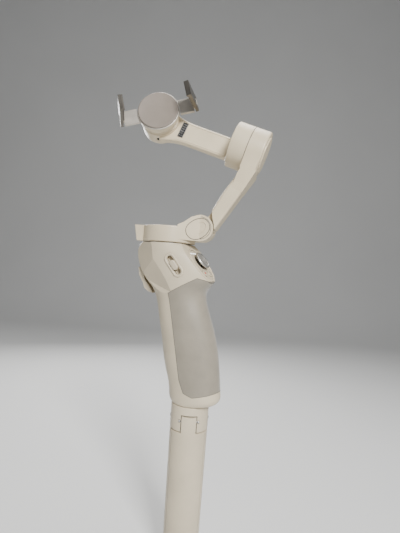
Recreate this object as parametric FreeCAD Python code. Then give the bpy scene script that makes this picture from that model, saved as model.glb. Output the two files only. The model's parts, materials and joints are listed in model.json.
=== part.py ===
"""Folding three-axis handheld phone gimbal with a magnetic phone clamp and a screw-on mini tripod.

Units are millimetres and degrees. +Z is up along the pan axis and the tripod axis, and the
origin is on the tripod axis at the plane of its feet. +X is the thumb panel side of the handle,
-X the trigger side, -Y the zoom slider side.
Each moving group is modelled in its own simple frame and then placed at its resting angle.
"""
import FreeCAD, Part
import math
import os
from FreeCAD import Placement, Rotation, Vector

os.makedirs("parts", exist_ok=True)

X_AXIS = Vector(1, 0, 0)
Y_AXIS = Vector(0, 1, 0)
Z_AXIS = Vector(0, 0, 1)

# ---------------------------------------------------------------- clearances
SEAM = 0.15            # gap between two fixed pieces that sit side by side
RUN_GAP = 0.6          # visible gap between housings that turn against each other
SLIDE_GAP = 0.2        # gap round a piece that slides or is pressed
SHAFT_PLAY = 0.04      # radial play of a shaft or pin in its bore

# ---------------------------------------------------------------- tripod
COLLAR_R = 16.0
COLLAR_BOTTOM = 117.0
TRIPOD_TOP = 137.6
LEG_COUNT = 3
LEG_FIRST_ANGLE = -65.0
LEG_TOP = 116.4
LEG_FOOT_R = 15.0
LEG_GAP = 0.5
LEG_CORE_R = 2.4
FOOT_HEIGHT = 9.0
LEG_PIVOT_R = 13.2
LEG_PIVOT_Z = 126.0
TONGUE_WIDTH = 12.2
TONGUE_R = 4.3
TONGUE_SIDE_GAP = 0.45   # shadow gap on each side of a leg's tongue
PIN_R = 1.25
STUD_R = 3.175         # quarter-inch camera thread, major radius
STUD_LENGTH = 16.0
STUD_REACH = 9.0       # how far the stud enters the handle

# ---------------------------------------------------------------- handle
# height, centre X, half depth along X, half width along Y
HANDLE_SECTIONS = [
    (138.2, 0.3, 15.6, 15.4),
    (140.4, 2.7, 20.8, 16.7),
    (143.6, 3.3, 22.5, 17.3),
    (149.0, 3.0, 22.9, 17.6),
    (168.0, -0.9, 24.5, 18.0),
    (189.0, -5.2, 24.7, 18.3),
    (209.0, -10.9, 23.6, 18.3),
    (225.0, -15.8, 22.8, 18.6),
    (232.0, -17.7, 24.5, 19.6),
    (240.0, -18.9, 31.5, 20.8),
    (252.0, -22.4, 35.9, 22.0),
    (263.0, -27.2, 33.4, 22.9),
    (268.6, -31.0, 27.5, 23.2),
    (271.6, -32.0, 23.35, 23.3),
]
# Three points of each chamfer plane on the -Y side of the head's front; +Y mirrors them
CHAMFER_LOW = [(-17.8, -19.2, 232.5), (-36.0, -20.5, 256.0), (-41.3, -12.6, 238.2)]
CHAMFER_HIGH = [(-36.0, -20.5, 256.0), (-36.0, -23.2, 271.6), (-56.0, -10.4, 256.0)]
CHAMFER_FADE = [(-16.0, -19.4, 230.4), (-29.0, -17.6, 229.4), (-29.0, -15.2, 236.4)]
SHELL_WALL = 2.2
GRIP_SKIN = 1.5
CAVITY_BOTTOM = 152.0
CAVITY_TOP = 256.5
GRIP_OUTLINE = [        # X, Z seen from the side
    (-18.7, 229.9), (-14.0, 208.8), (-8.0, 180.2), (-3.8, 159.6), (1.0, 149.5),
    (9.0, 147.0), (20.0, 149.5), (34.0, 154.0), (34.0, 241.0), (16.0, 240.5), (5.0, 243.8),
]
PORT_TURN = 60.0       # the charging port faces this far round from +X towards +Y
PORT_Z = 159.0
PORT_INNER = 11.2
PORT_OUTER = 18.4
BATTERY_R = 9.2
BATTERY_LENGTH = 65.0

# ---------------------------------------------------------------- thumb panel
PANEL_X = 1.3          # the panel plane passes through this X at PANEL_Z
PANEL_Z = 254.8
PANEL_TURN = 50.3      # turn about +Y that takes level into the panel plane
PANEL_HALF_LENGTH = 17.2
PANEL_HALF_WIDTH = 14.0
PANEL_PLATE = 1.8
RIM_WIDTH = 1.3
RIM_PROUD = 0.5
STICK_X = -2.9
STICK_R = 8.0
STICK_PIVOT = -3.5      # height of the stick's two crossed axes over the panel
STICK_HOLE_R = 5.4
STEM_R = 1.6
BUTTON_X = 8.9
BUTTON_Y = 5.1
BUTTON_R = 2.9
BUTTON_PROUD = 1.0
LED_X = -12.2
LED_COUNT = 4
LED_PITCH = 3.9
LED_LENGTH = 2.6
LED_WIDTH = 1.0

# ---------------------------------------------------------------- zoom slider and trigger
SLIDER_X = -13.9
SLIDER_Y = -21.4
SLIDER_Z = 253.4
SLIDER_HEADING = 9.2  # turn about +Z of the slider's outward normal
SLIDER_LEAN = 52.0     # turn of the slot from level, head end down
SLOT_LENGTH = 22.4
SLOT_WIDTH = 9.6
BEZEL_LIP = 2.0        # width of the raised edge round the slot
KNOB_LENGTH = 9.2
KNOB_WIDTH = 5.0
TRIGGER_PIVOT = (-52.0, 247.0)
TRIGGER_HALF_WIDTH = 7.5
TRIGGER_OUTLINE = [
    (-57.3, 249.6), (-56.2, 243.0), (-51.6, 236.0), (-49.7, 231.3), (-45.2, 228.6),
    (-41.2, 227.6), (-41.6, 229.6), (-44.8, 233.0), (-50.2, 239.6), (-51.0, 243.0), (-49.6, 249.6),
]
TRIGGER_POCKET = [
    (-66.0, 250.2), (-48.8, 250.2), (-48.2, 243.0), (-46.6, 239.6), (-41.2, 234.5),
    (-36.4, 231.0), (-36.2, 225.8), (-66.0, 225.8),
]

# ---------------------------------------------------------------- pan motor and fold hinge
PAN_X = -32.0
PAN_REST = 16.0        # turn of the arm plane from the handle's own plane
PAN_RING_R = 23.3
PAN_RING_BOTTOM = 272.4
PAN_RING_TOP = 286.3
PAN_HOLLOW_R = 17.3
PAN_CUP_R = 19.4
PAN_CUP_FLOOR = 259.5
TAB_END = 28.8
WEB_TANGENT = 61.4     # where the web's sides leave the ring, from the hinge direction
WEB_OUTLINE = [         # X, Z seen from the side, from the ring's top over the knuckle
    (6.0, 286.3), (10.0, 286.8), (16.0, 290.4), (21.4, 295.1), (28.6, 297.7), (28.6, 275.1),
    (20.0, 274.2), (6.0, 272.8),
]
ARM_DEPTH = 22.0       # across the folding arm, along the hinge pin
HINGE_X = 28.6
HINGE_Z = 286.4
HINGE_R = 11.3
HINGE_SLOT = 11.6
FOLD_RANGE = 116.0     # the arm folds this far down onto the ring
TONGUE_HINGE_R = 9.9
TONGUE_THICK = 10.8
HINGE_PIN_R = 2.5
HINGE_COVER_R = 9.4
HINGE_COVER_THICK = 1.0

# ---------------------------------------------------------------- folding arm and tilt motor
ARM_INNER = [(34.4, 297.8), (39.3, 305.3), (46.9, 319.3), (55.4, 331.4), (60.0, 338.8)]
ARM_OUTER = [(72.6, 335.5), (61.4, 317.5), (48.5, 297.4), (41.0, 285.8)]
TILT_X = 64.75
TILT_Z = 357.1
TILT_DROP = 18.5       # the tilt axis falls this much below level towards its outer end
TILT_REST = -14.0
TILT_R = 19.7
TILT_RING_LENGTH = 14.7
TILT_CAP_LENGTH = 14.3
TILT_WALL = 1.9
MOTOR_FLARE = [         # half width and height in the motor's frame, where the arm widens
    (18.9, -5.5), (15.0, -19.9), (12.0, -31.0), (10.9, -38.0),
]
STOP_PIN_AT = 0.72     # place of the stop pin along the inner edge, 0 at the hinge, 1 at the motor

# ---------------------------------------------------------------- roll arm and roll motor
ROLL_REACH = 87.0      # from the tilt motor's middle to the roll axis
ROLL_REST = 35.0
ROLL_OFFSET = 1.8       # the roll axis runs this far above the tilt axis
ROLL_ARM_HALF_WIDTH = 10.2
ROLL_ARM_DROP = 0.8     # middle of the arm bar below the tilt axis
ROLL_ARM_FRONT = 7.0
ROLL_ARM_BACK = 13.6
ROLL_R = 17.4
ROLL_BACK = -19.2      # places along the roll axis, from the tilt axis towards the phone
ROLL_HOUSING_FRONT = -4.3
ROLL_RING_BACK = -3.7
MAGNET_BASE_BACK = -0.5
CLAMP_BACK = 2.8
LABEL_MARGIN = 3.4
LABEL_WIDTH = 5.2
LABEL_LENGTH = 15.2
VENT_R = 2.0
VENT_DEPTH = 10.8       # place of the vent hole along the roll housing
VENT_ANGLE = 18.0       # turn of the vent hole from straight down towards the arm

# ---------------------------------------------------------------- phone clamp
CLAMP_R = 18.6
CHANNEL_BACK = 3.8
COVER_BACK = 6.3
COVER_FRONT = 7.3
PAD_FRONT = 8.3
PAD_R = 17.7
ARM_HALF_WIDTH = 7.0
ARM_THICK = 2.0
ARM_REACH = 31.2
ARM_TAIL_INNER = 2.6
ARM_TAIL_REACH = 13.5
CLAW_PIVOT = (33.4, 7.2)
CLAW_LEAN = 12.0
CLAW_HEIGHT = 22.0
CLAW_SKIRT = 2.8       # how far the claw reaches below its pivot
CLAW_THICK = 2.6
CLAW_PIN_R = 0.8


# ---------------------------------------------------------------- frames of the moving groups
def turn(axis, degrees):
    """A turn about an axis through the origin."""
    return Placement(Vector(0, 0, 0), Rotation(axis, degrees))


def shift(x, y, z):
    """A straight move."""
    return Placement(Vector(x, y, z), Rotation())


def chain(*steps):
    """Frames multiplied from the outermost to the innermost."""
    frame = Placement()
    for step in steps:
        frame = frame.multiply(step)
    return frame


ROOT = Placement()
PANEL = chain(shift(PANEL_X, 0, PANEL_Z), turn(Y_AXIS, PANEL_TURN))
SLIDER = chain(shift(SLIDER_X, SLIDER_Y, SLIDER_Z), turn(Z_AXIS, SLIDER_HEADING),
               turn(X_AXIS, 90), turn(Z_AXIS, -SLIDER_LEAN))
PAN = chain(shift(PAN_X, 0, 0), turn(Z_AXIS, PAN_REST))
# X runs out along the tilt axis, Y to the back and Z up across the arm
ARM_MOTOR = chain(PAN, shift(TILT_X, 0, TILT_Z), turn(Y_AXIS, TILT_DROP))
TILT = chain(ARM_MOTOR, turn(X_AXIS, TILT_REST))
# Z runs out of the pad towards the phone, X along the clamp's arms
ROLL_HOUSING = chain(TILT, shift(-ROLL_REACH, 0, ROLL_OFFSET), turn(X_AXIS, 90))
ROLL = chain(ROLL_HOUSING, turn(Z_AXIS, ROLL_REST))


# ---------------------------------------------------------------- small shape helpers
def cyl(radius, z0, z1, x=0, y=0):
    return Part.makeCylinder(radius, z1 - z0, Vector(x, y, z0), Z_AXIS)


def cyl_x(radius, x0, x1, y=0, z=0):
    return Part.makeCylinder(radius, x1 - x0, Vector(x0, y, z), X_AXIS)


def cyl_y(radius, half_length, x=0, z=0):
    return Part.makeCylinder(radius, 2 * half_length, Vector(x, -half_length, z), Y_AXIS)


def tube(outer, inner, z0, z1):
    return cyl(outer, z0, z1).cut(cyl(inner, z0, z1))


def box(x0, x1, y0, y1, z0, z1):
    return Part.makeBox(x1 - x0, y1 - y0, z1 - z0, Vector(x0, y0, z0))


def prism_y(points, half_width):
    """A side outline in X and Z, extruded equally to both sides in Y."""
    corners = [Vector(x, -half_width, z) for x, z in points]
    face = Part.Face(Part.makePolygon(corners + corners[:1]))
    return face.extrude(Vector(0, 2 * half_width, 0))


def prism_z(wire, z0, z1):
    face = Part.Face(wire)
    face.translate(Vector(0, 0, z0))
    return face.extrude(Vector(0, 0, z1 - z0))


def ellipse_wire(half_x, half_y, x=0, z=0):
    curve = Part.Ellipse(Vector(x, 0, z), half_x, half_y)
    return Part.Wire(curve.toShape())


def ellipse_plate(half_x, half_y, z0, z1):
    return prism_z(ellipse_wire(half_x, half_y), z0, z1)


def stadium(length, width, z0, z1):
    """A slot outline with round ends along X, as a plate."""
    radius = width / 2
    run = length / 2 - radius
    plate = box(-run, run, -radius, radius, z0, z1)
    for end in (-run, run):
        plate = plate.fuse(cyl(radius, z0, z1, x=end))
    return plate.removeSplitter()


def joined(shapes):
    """One clean solid from touching or overlapping shapes."""
    body = shapes[0]
    for shape in shapes[1:]:
        body = body.fuse(shape)
    return body.removeSplitter()


def cut_all(body, tools):
    for tool in tools:
        body = body.cut(tool)
    return body


def rounded(body, radius, chosen):
    """Fillet the edges for which chosen(edge) holds."""
    edges = [edge for edge in body.Edges if chosen(edge)]
    return body.makeFillet(radius, edges) if edges else body


def circle_edge(edge, radius, place, axis="z"):
    """True for a full round edge of this radius at this place along an axis."""
    curve = edge.Curve
    if not isinstance(curve, Part.Circle) or abs(curve.Radius - radius) > 0.01:
        return False
    return abs(getattr(curve.Center, axis) - place) < 0.01


NODES = {}


def keep(name, frame, *shapes):
    """Place a node's solids in the row frame and remember them for export."""
    placed = []
    for shape in shapes:
        moved = shape.copy()
        moved.Placement = frame.multiply(moved.Placement)
        placed.extend(moved.Solids)
    NODES[name] = placed


# ---------------------------------------------------------------- tripod
def leg_frame(index):
    """Local frame of one leg: X outward, Z up."""
    return turn(Z_AXIS, LEG_FIRST_ANGLE + index * 360.0 / LEG_COUNT)


def leg_slot():
    reach = COLLAR_R + 2
    half = TONGUE_WIDTH / 2 + TONGUE_SIDE_GAP
    return box(6.0, reach, -half, half, COLLAR_BOTTOM - 1, LEG_PIVOT_Z + TONGUE_R + 0.6)


def make_collar():
    collar = cyl(COLLAR_R, COLLAR_BOTTOM, TRIPOD_TOP)
    collar = rounded(collar, 0.8, lambda edge: circle_edge(edge, COLLAR_R, TRIPOD_TOP)
                     or circle_edge(edge, COLLAR_R, COLLAR_BOTTOM))
    collar = collar.cut(cyl(STUD_R, TRIPOD_TOP + STUD_REACH - STUD_LENGTH, TRIPOD_TOP))
    pins = []
    for index in range(LEG_COUNT):
        slot = leg_slot()
        slot.Placement = leg_frame(index)
        pin = cyl_y(PIN_R, TONGUE_WIDTH / 2 + 2.2, LEG_PIVOT_R, LEG_PIVOT_Z)
        pin.Placement = leg_frame(index).multiply(pin.Placement)
        collar = collar.cut(slot).cut(pin)
        pins.append(pin)
    keep("tripod_collar", ROOT, collar)
    keep("leg_pins", ROOT, *pins)
    foot = TRIPOD_TOP + STUD_REACH - STUD_LENGTH
    stud = cyl(STUD_R, foot, TRIPOD_TOP + STUD_REACH)
    keep("tripod_stud", ROOT, stud.makeChamfer(0.6, [edge for edge in stud.Edges
                                                     if circle_edge(edge, STUD_R, TRIPOD_TOP + STUD_REACH)]))


def make_legs():
    cone = Part.makeCone(LEG_FOOT_R, COLLAR_R, LEG_TOP)
    cone = rounded(cone, 1.0, lambda edge: circle_edge(edge, COLLAR_R, LEG_TOP)
                   or circle_edge(edge, LEG_FOOT_R, 0))
    cone = cone.cut(cyl(LEG_CORE_R, 0, LEG_TOP))
    far = 3 * COLLAR_R
    half_angle = math.radians(180.0 / LEG_COUNT)
    inset = LEG_GAP / 2 / math.sin(half_angle)
    wedge_points = [Vector(inset, 0, 0),
                    Vector(inset + far * math.cos(half_angle), far * math.sin(half_angle), 0),
                    Vector(inset + far * math.cos(half_angle), -far * math.sin(half_angle), 0)]
    wedge = prism_z(Part.makePolygon(wedge_points + wedge_points[:1]), 0, LEG_TOP)
    sector = cone.common(wedge)
    half = TONGUE_WIDTH / 2
    inner = LEG_PIVOT_R - TONGUE_R
    tongue = joined([box(inner, COLLAR_R, -half, half, LEG_TOP - 2, LEG_PIVOT_Z),
                     cyl_y(TONGUE_R, half, LEG_PIVOT_R, LEG_PIVOT_Z)])
    tongue = tongue.common(cyl(COLLAR_R - 0.1, LEG_TOP - 2, TRIPOD_TOP))
    tongue = tongue.cut(cyl_y(PIN_R + SHAFT_PLAY, COLLAR_R, LEG_PIVOT_R, LEG_PIVOT_Z))
    foot_space = box(-1, far, -far, far, -1, FOOT_HEIGHT)
    leg = joined([sector.cut(foot_space), tongue])
    foot = sector.common(foot_space)
    for index in range(LEG_COUNT):
        keep("tripod_leg_%d" % (index + 1), leg_frame(index), leg)
        keep("leg_foot_%d" % (index + 1), leg_frame(index), foot)


# ---------------------------------------------------------------- handle
def handle_loft(inset, sections):
    """The handle's outer form, or the same form shrunk by an inset."""
    wires = []
    for z, x, half_x, half_y in sections:
        wires.append(ellipse_wire(half_x - inset, half_y - inset, x=x, z=z))
    return Part.makeLoft(wires, True, False)


def beyond_panel(offset):
    """Everything on the outer side of the panel plane, or of a plane below it."""
    block = box(-80, 80, -60, 60, offset, 80)
    block.Placement = PANEL
    return block


def half_space(points, outward):
    """Everything past the plane through three points, on the side that outward points to."""
    a, b, c = [Vector(*point) for point in points]
    normal = (b - a).cross(c - a).normalize()
    if normal.dot(outward) < 0:
        normal = -normal
    block = box(-60, 60, -60, 60, 0, 60)
    block.Placement = Placement(a, Rotation(Z_AXIS, normal))
    return block


def front_chamfers():
    """Facets that turn the head's front away from the zoom slider's side, on both sides."""
    facets = []
    for side in (1, -1):
        low, high, fade = [[(x, side * y, z) for x, y, z in points]
                           for points in (CHAMFER_LOW, CHAMFER_HIGH, CHAMFER_FADE)]
        sideways = Vector(0, -side, 0)
        facets.append(half_space(low, sideways).common(half_space(fade, Z_AXIS)))
        facets.append(half_space(high, sideways).common(box(-90, 20, -60, 60, 245, 300)))
    return facets


def grip_zone():
    return prism_y(GRIP_OUTLINE, 40)


def make_panel_cutters():
    """The stepped recess for the plate and its rim, in the panel's frame."""
    recess = ellipse_plate(PANEL_HALF_LENGTH + SEAM, PANEL_HALF_WIDTH + SEAM, -PANEL_PLATE, 5)
    well = ellipse_plate(PANEL_HALF_LENGTH - 2.5, PANEL_HALF_WIDTH - 2.5, -9.5, 0)
    return [recess, well]


def make_handle():
    outer = cut_all(handle_loft(0, HANDLE_SECTIONS), front_chamfers())
    skin = handle_loft(GRIP_SKIN, HANDLE_SECTIONS)
    inner = [row for row in HANDLE_SECTIONS if CAVITY_BOTTOM - 10 < row[0] < 270]
    cavity = handle_loft(SHELL_WALL + GRIP_SKIN, inner)
    cavity = cavity.common(box(-90, 90, -60, 60, CAVITY_BOTTOM, CAVITY_TOP)).cut(beyond_panel(-3.4))
    body = outer.cut(beyond_panel(0)).cut(cavity)

    cup = joined([cyl(PAN_CUP_R, PAN_CUP_FLOOR, 275), cyl(5.0, CAVITY_TOP - 2, PAN_CUP_FLOOR)])
    cup.Placement = PAN
    pocket = prism_y(TRIGGER_POCKET, TRIGGER_HALF_WIDTH + 0.5)
    slot = stadium(SLOT_LENGTH - 2 * BEZEL_LIP + 0.6, SLOT_WIDTH - 2 * BEZEL_LIP + 0.6, -4.4, 3)
    recess = stadium(SLOT_LENGTH + SEAM, SLOT_WIDTH + SEAM, -1.4, 3)
    tools = [cup, pocket]
    for tool, frame in [(slot, SLIDER), (recess, SLIDER)] + [(c, PANEL) for c in make_panel_cutters()]:
        tool.Placement = frame.multiply(tool.Placement)
        tools.append(tool)
    socket_top = TRIPOD_TOP + STUD_REACH + 2.0
    tools.append(cyl(6.5, HANDLE_SECTIONS[0][0] + 1.2, socket_top))
    tools.append(cyl(STUD_R + 0.6, HANDLE_SECTIONS[0][0] - 1, socket_top))
    port_space = box(PORT_INNER - 2.0, 40, -4.6, 4.6, PORT_Z - 1.6, PORT_Z + 1.6)
    port_space.Placement = turn(Z_AXIS, PORT_TURN)
    tools.append(port_space)
    body = cut_all(body, tools)

    grip = outer.cut(skin).cut(beyond_panel(-0.6)).common(grip_zone())
    grip = cut_all(grip, tools)
    skin_zone = grip_zone().cut(skin)
    body = body.cut(skin_zone)
    keep("handle_shell_left", ROOT, body.common(box(-90, 90, -60, 0, 100, 300)))
    keep("handle_shell_right", ROOT, body.common(box(-90, 90, 0, 60, 100, 300)))
    keep("grip_sleeve", ROOT, max(grip.Solids, key=lambda solid: solid.Volume))

    insert = tube(6.4, STUD_R + 0.1, HANDLE_SECTIONS[0][0] + 1.3, TRIPOD_TOP + STUD_REACH + 1.5)
    keep("tripod_socket_insert", ROOT, insert)
    port = box(PORT_INNER, PORT_OUTER, -4.4, 4.4, PORT_Z - 1.4, PORT_Z + 1.4)
    port = port.cut(box(PORT_INNER + 1.0, PORT_OUTER + 1, -3.7, 3.7, PORT_Z - 0.8, PORT_Z + 0.8))
    keep("usb_c_port", turn(Z_AXIS, PORT_TURN), port)


def make_inner_parts():
    lean = math.degrees(math.atan2(11.0, 66.0))
    battery_frame = chain(shift(1.5, 0, 154.5), turn(Y_AXIS, -lean))
    battery = rounded(cyl(BATTERY_R, 0, BATTERY_LENGTH), 0.8,
                      lambda edge: isinstance(edge.Curve, Part.Circle))
    keep("battery", battery_frame, battery)
    keep("main_board", battery_frame, box(-7, 7, BATTERY_R + 0.8, BATTERY_R + 2.2, 10, 58))
    keep("control_board", PANEL, box(-10.5, 10.5, -7.8, 7.8, -8.9, -7.7))


# ---------------------------------------------------------------- thumb controls
def make_panel():
    plate = ellipse_plate(PANEL_HALF_LENGTH - RIM_WIDTH - SEAM, PANEL_HALF_WIDTH - RIM_WIDTH - SEAM,
                          -PANEL_PLATE, 0)
    rim = ellipse_plate(PANEL_HALF_LENGTH, PANEL_HALF_WIDTH, -PANEL_PLATE, RIM_PROUD)
    rim = rim.cut(ellipse_plate(PANEL_HALF_LENGTH - RIM_WIDTH, PANEL_HALF_WIDTH - RIM_WIDTH,
                                -PANEL_PLATE, RIM_PROUD))
    tools = [cyl(STICK_HOLE_R, -PANEL_PLATE, 1, x=STICK_X)]
    for side in (-1, 1):
        tools.append(cyl(BUTTON_R + SLIDE_GAP, -PANEL_PLATE, 1, x=BUTTON_X, y=side * BUTTON_Y))
    windows = []
    for index in range(LED_COUNT):
        y = (index - (LED_COUNT - 1) / 2) * LED_PITCH
        half_x = LED_WIDTH / 2
        half_y = LED_LENGTH / 2
        window = box(LED_X - half_x, LED_X + half_x, y - half_y, y + half_y, -PANEL_PLATE, 0.15)
        tools.append(window)
        windows.append(window)
    keep("thumb_panel", PANEL, cut_all(plate, tools))
    keep("panel_rim", PANEL, rim)
    keep("status_lights", PANEL, *windows)


def make_buttons():
    for name, side in (("record_button", -1), ("mode_button", 1)):
        cap = cyl(BUTTON_R, -4.2, BUTTON_PROUD, x=BUTTON_X, y=side * BUTTON_Y)
        cap = rounded(cap, 0.5, lambda edge: circle_edge(edge, BUTTON_R, BUTTON_PROUD))
        keep(name, PANEL, cap)


def make_joystick():
    pivot = STICK_PIVOT
    cap = cyl(STICK_R, 2.7, 4.4, x=STICK_X)
    cap = rounded(cap, 0.7, lambda edge: circle_edge(edge, STICK_R, 4.4))
    dish = Part.makeSphere(14.0, Vector(STICK_X, 0, 4.4 + 14.0 - 0.9))
    cap = cap.cut(dish)
    stem = cyl(STEM_R, pivot - 1.6, 3.2, x=STICK_X)
    cross_pin = Part.makeCylinder(0.7, 5.8, Vector(STICK_X - 2.9, 0, pivot), X_AXIS)
    keep("joystick_cap", PANEL, joined([cap, stem, cross_pin]))

    ring = cyl(4.4, pivot - 1.1, pivot + 1.1, x=STICK_X).cut(cyl(2.6, pivot - 1.1, pivot + 1.1, x=STICK_X))
    ring = ring.cut(Part.makeCylinder(0.7 + SHAFT_PLAY, 7, Vector(STICK_X - 3.5, 0, pivot), X_AXIS))
    pins = cyl_y(0.7, 5.6, STICK_X, pivot).cut(cyl(3.5, pivot - 2, pivot + 2, x=STICK_X))
    keep("joystick_yoke", PANEL, joined([ring, pins.Solids[0], pins.Solids[1]]))

    posts = []
    for side in (-1, 1):
        inner, outer = sorted((side * 4.8, side * 6.2))
        posts.append(box(STICK_X - 1.6, STICK_X + 1.6, inner, outer, -7.7, pivot + 1.5))
    base = joined([box(STICK_X - 4, STICK_X + 4, -6.2, 6.2, -7.7, -6.7)] + posts)
    keep("joystick_base", PANEL, base.cut(cyl_y(0.7 + SHAFT_PLAY, 7, STICK_X, pivot)))


def make_slider():
    bezel = stadium(SLOT_LENGTH, SLOT_WIDTH, -1.3, 0.5)
    inner = stadium(SLOT_LENGTH - 2 * BEZEL_LIP, SLOT_WIDTH - 2 * BEZEL_LIP, -1.3, 0.5)
    keep("slider_bezel", SLIDER, bezel.cut(inner))
    knob = stadium(KNOB_LENGTH, KNOB_WIDTH, -3.4, 1.7)
    keep("zoom_slider_knob", SLIDER, knob)


def make_trigger():
    trigger = prism_y(TRIGGER_OUTLINE, TRIGGER_HALF_WIDTH)
    x, z = TRIGGER_PIVOT
    trigger = trigger.cut(cyl_y(1.0 + SHAFT_PLAY, 20, x, z))
    keep("trigger", ROOT, trigger)
    keep("trigger_pin", ROOT, cyl_y(1.0, TRIGGER_HALF_WIDTH + 0.5, x, z))


# ---------------------------------------------------------------- motors
def motor_core(stator_r, bearing_r, shaft_r, z0, z1):
    """Stator and two ball races of a small hollow gimbal motor, along Z."""
    stator = tube(stator_r, bearing_r, z0, z1)
    race = 2.8
    low = tube(bearing_r, shaft_r + SHAFT_PLAY, z0 + 0.3, z0 + 0.3 + race)
    high = tube(bearing_r, shaft_r + SHAFT_PLAY, z1 - 0.3 - race, z1 - 0.3)
    return stator, low, high


def bell(outer, inner, z0, z1, floor):
    """Rotor cup with its closed end towards z1."""
    return cyl(outer, z0, z1).cut(cyl(inner, z0, z1 - floor))


# ---------------------------------------------------------------- pan motor and its ring
def make_pan_motor():
    stator, low, high = motor_core(13.4, 5.7, 3.0, PAN_CUP_FLOOR, 268.6)
    keep("pan_stator", PAN, stator)
    keep("pan_bearings", PAN, low, high)
    keep("pan_rotor", PAN, joined([bell(17.6, 14.4, 261.0, PAN_RING_BOTTOM, 2.4),
                                   cyl(3.0, PAN_CUP_FLOOR + 0.6, PAN_RING_BOTTOM + 2.2)]))


def knuckle_web(grow):
    """The part of the ring that rises and narrows into the hinge knuckle."""
    half = ARM_DEPTH / 2
    side_x = PAN_RING_R * math.cos(math.radians(WEB_TANGENT))
    side_y = PAN_RING_R * math.sin(math.radians(WEB_TANGENT))
    plan = Part.makePolygon([Vector(side_x, side_y, 0), Vector(HINGE_X, half, 0), Vector(HINGE_X, -half, 0),
                             Vector(side_x, -side_y, 0), Vector(side_x, side_y, 0)])
    web = prism_z(plan, HINGE_Z - HINGE_R, HINGE_Z + HINGE_R + grow)
    side = [(x - grow, z + grow) for x, z in WEB_OUTLINE[:5]] + WEB_OUTLINE[5:]
    return web.common(prism_y(side, PAN_RING_R))


def make_pan_ring():
    half = ARM_DEPTH / 2
    ring = cyl(PAN_RING_R, PAN_RING_BOTTOM, PAN_RING_TOP)
    ring = rounded(ring, 1.2, lambda edge: circle_edge(edge, PAN_RING_R, PAN_RING_TOP)
                   or circle_edge(edge, PAN_RING_R, PAN_RING_BOTTOM))
    web = knuckle_web(0)
    boss = cyl_y(HINGE_R, half, HINGE_X, HINGE_Z)
    tab = prism_y([(-18, PAN_RING_BOTTOM + 0.4), (-TAB_END + 2.4, PAN_RING_BOTTOM + 0.4),
                   (-TAB_END, PAN_RING_TOP), (-18, PAN_RING_TOP)], half)
    body = joined([ring, web, boss, tab])
    slot_half = HINGE_SLOT / 2
    slot = joined([cyl_y(TONGUE_HINGE_R + 0.5, slot_half, HINGE_X, HINGE_Z),
                   box(HINGE_X, HINGE_X + 16, -slot_half, slot_half, HINGE_Z - 3.4, HINGE_Z + 16),
                   box(HINGE_X - 24, HINGE_X, -slot_half, slot_half, PAN_RING_TOP, HINGE_Z + 16)])
    cover_seat = cyl_y(HINGE_COVER_R + SEAM, half, HINGE_X, HINGE_Z).cut(
        cyl_y(HINGE_COVER_R + 1, half - HINGE_COVER_THICK, HINGE_X, HINGE_Z))
    hollow = cyl(PAN_HOLLOW_R, PAN_RING_BOTTOM + 2.2, PAN_RING_TOP - 1.6)
    cap_seat = cyl(PAN_HOLLOW_R + 1.6, PAN_RING_TOP - 1.6, PAN_RING_TOP + 1).cut(web)
    shaft = cyl(3.0, PAN_RING_BOTTOM, PAN_RING_BOTTOM + 2.2)
    pin = cyl_y(HINGE_PIN_R, half, HINGE_X, HINGE_Z)
    body = cut_all(body, [slot, cover_seat, hollow, cap_seat, shaft, pin])
    keep("pan_ring", PAN, max(body.Solids, key=lambda solid: solid.Volume))
    cap = cyl(PAN_HOLLOW_R + 1.6 - SEAM, PAN_RING_TOP - 1.6, PAN_RING_TOP)
    cap = cap.cut(cyl_y(TONGUE_HINGE_R + 0.5, slot_half, HINGE_X, HINGE_Z)).cut(web)
    keep("pan_ring_cap", PAN, cap)
    keep("hinge_pin", PAN, cyl_y(HINGE_PIN_R, half - HINGE_COVER_THICK, HINGE_X, HINGE_Z))
    covers = []
    for side in (-1, 1):
        start = side * (half - HINGE_COVER_THICK)
        cover = Part.makeCylinder(HINGE_COVER_R, HINGE_COVER_THICK, Vector(HINGE_X, start, HINGE_Z),
                                  Vector(0, side, 0))
        cover = rounded(cover, 0.4, lambda edge: circle_edge(edge, HINGE_COVER_R, side * half, "y"))
        covers.append(cover)
    keep("hinge_covers", PAN, *covers)


# ---------------------------------------------------------------- folding arm
def spline_edge(points):
    curve = Part.BSplineCurve()
    curve.interpolate([Vector(x, 0, z) for x, z in points])
    return curve.toShape()


def line_edge(start, end):
    return Part.LineSegment(Vector(start[0], 0, start[1]), Vector(end[0], 0, end[1])).toShape()


def arm_profile(half):
    """The arm's side outline between hinge and motor, extruded to half its depth each way."""
    edges = [spline_edge(ARM_INNER), line_edge(ARM_INNER[-1], (70, 344)),
             line_edge((70, 344), ARM_OUTER[0]), spline_edge(ARM_OUTER),
             line_edge(ARM_OUTER[-1], ARM_INNER[0])]
    face = Part.Face(Part.Wire(edges))
    face.translate(Vector(0, -half, 0))
    return face.extrude(Vector(0, 2 * half, 0))


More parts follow.
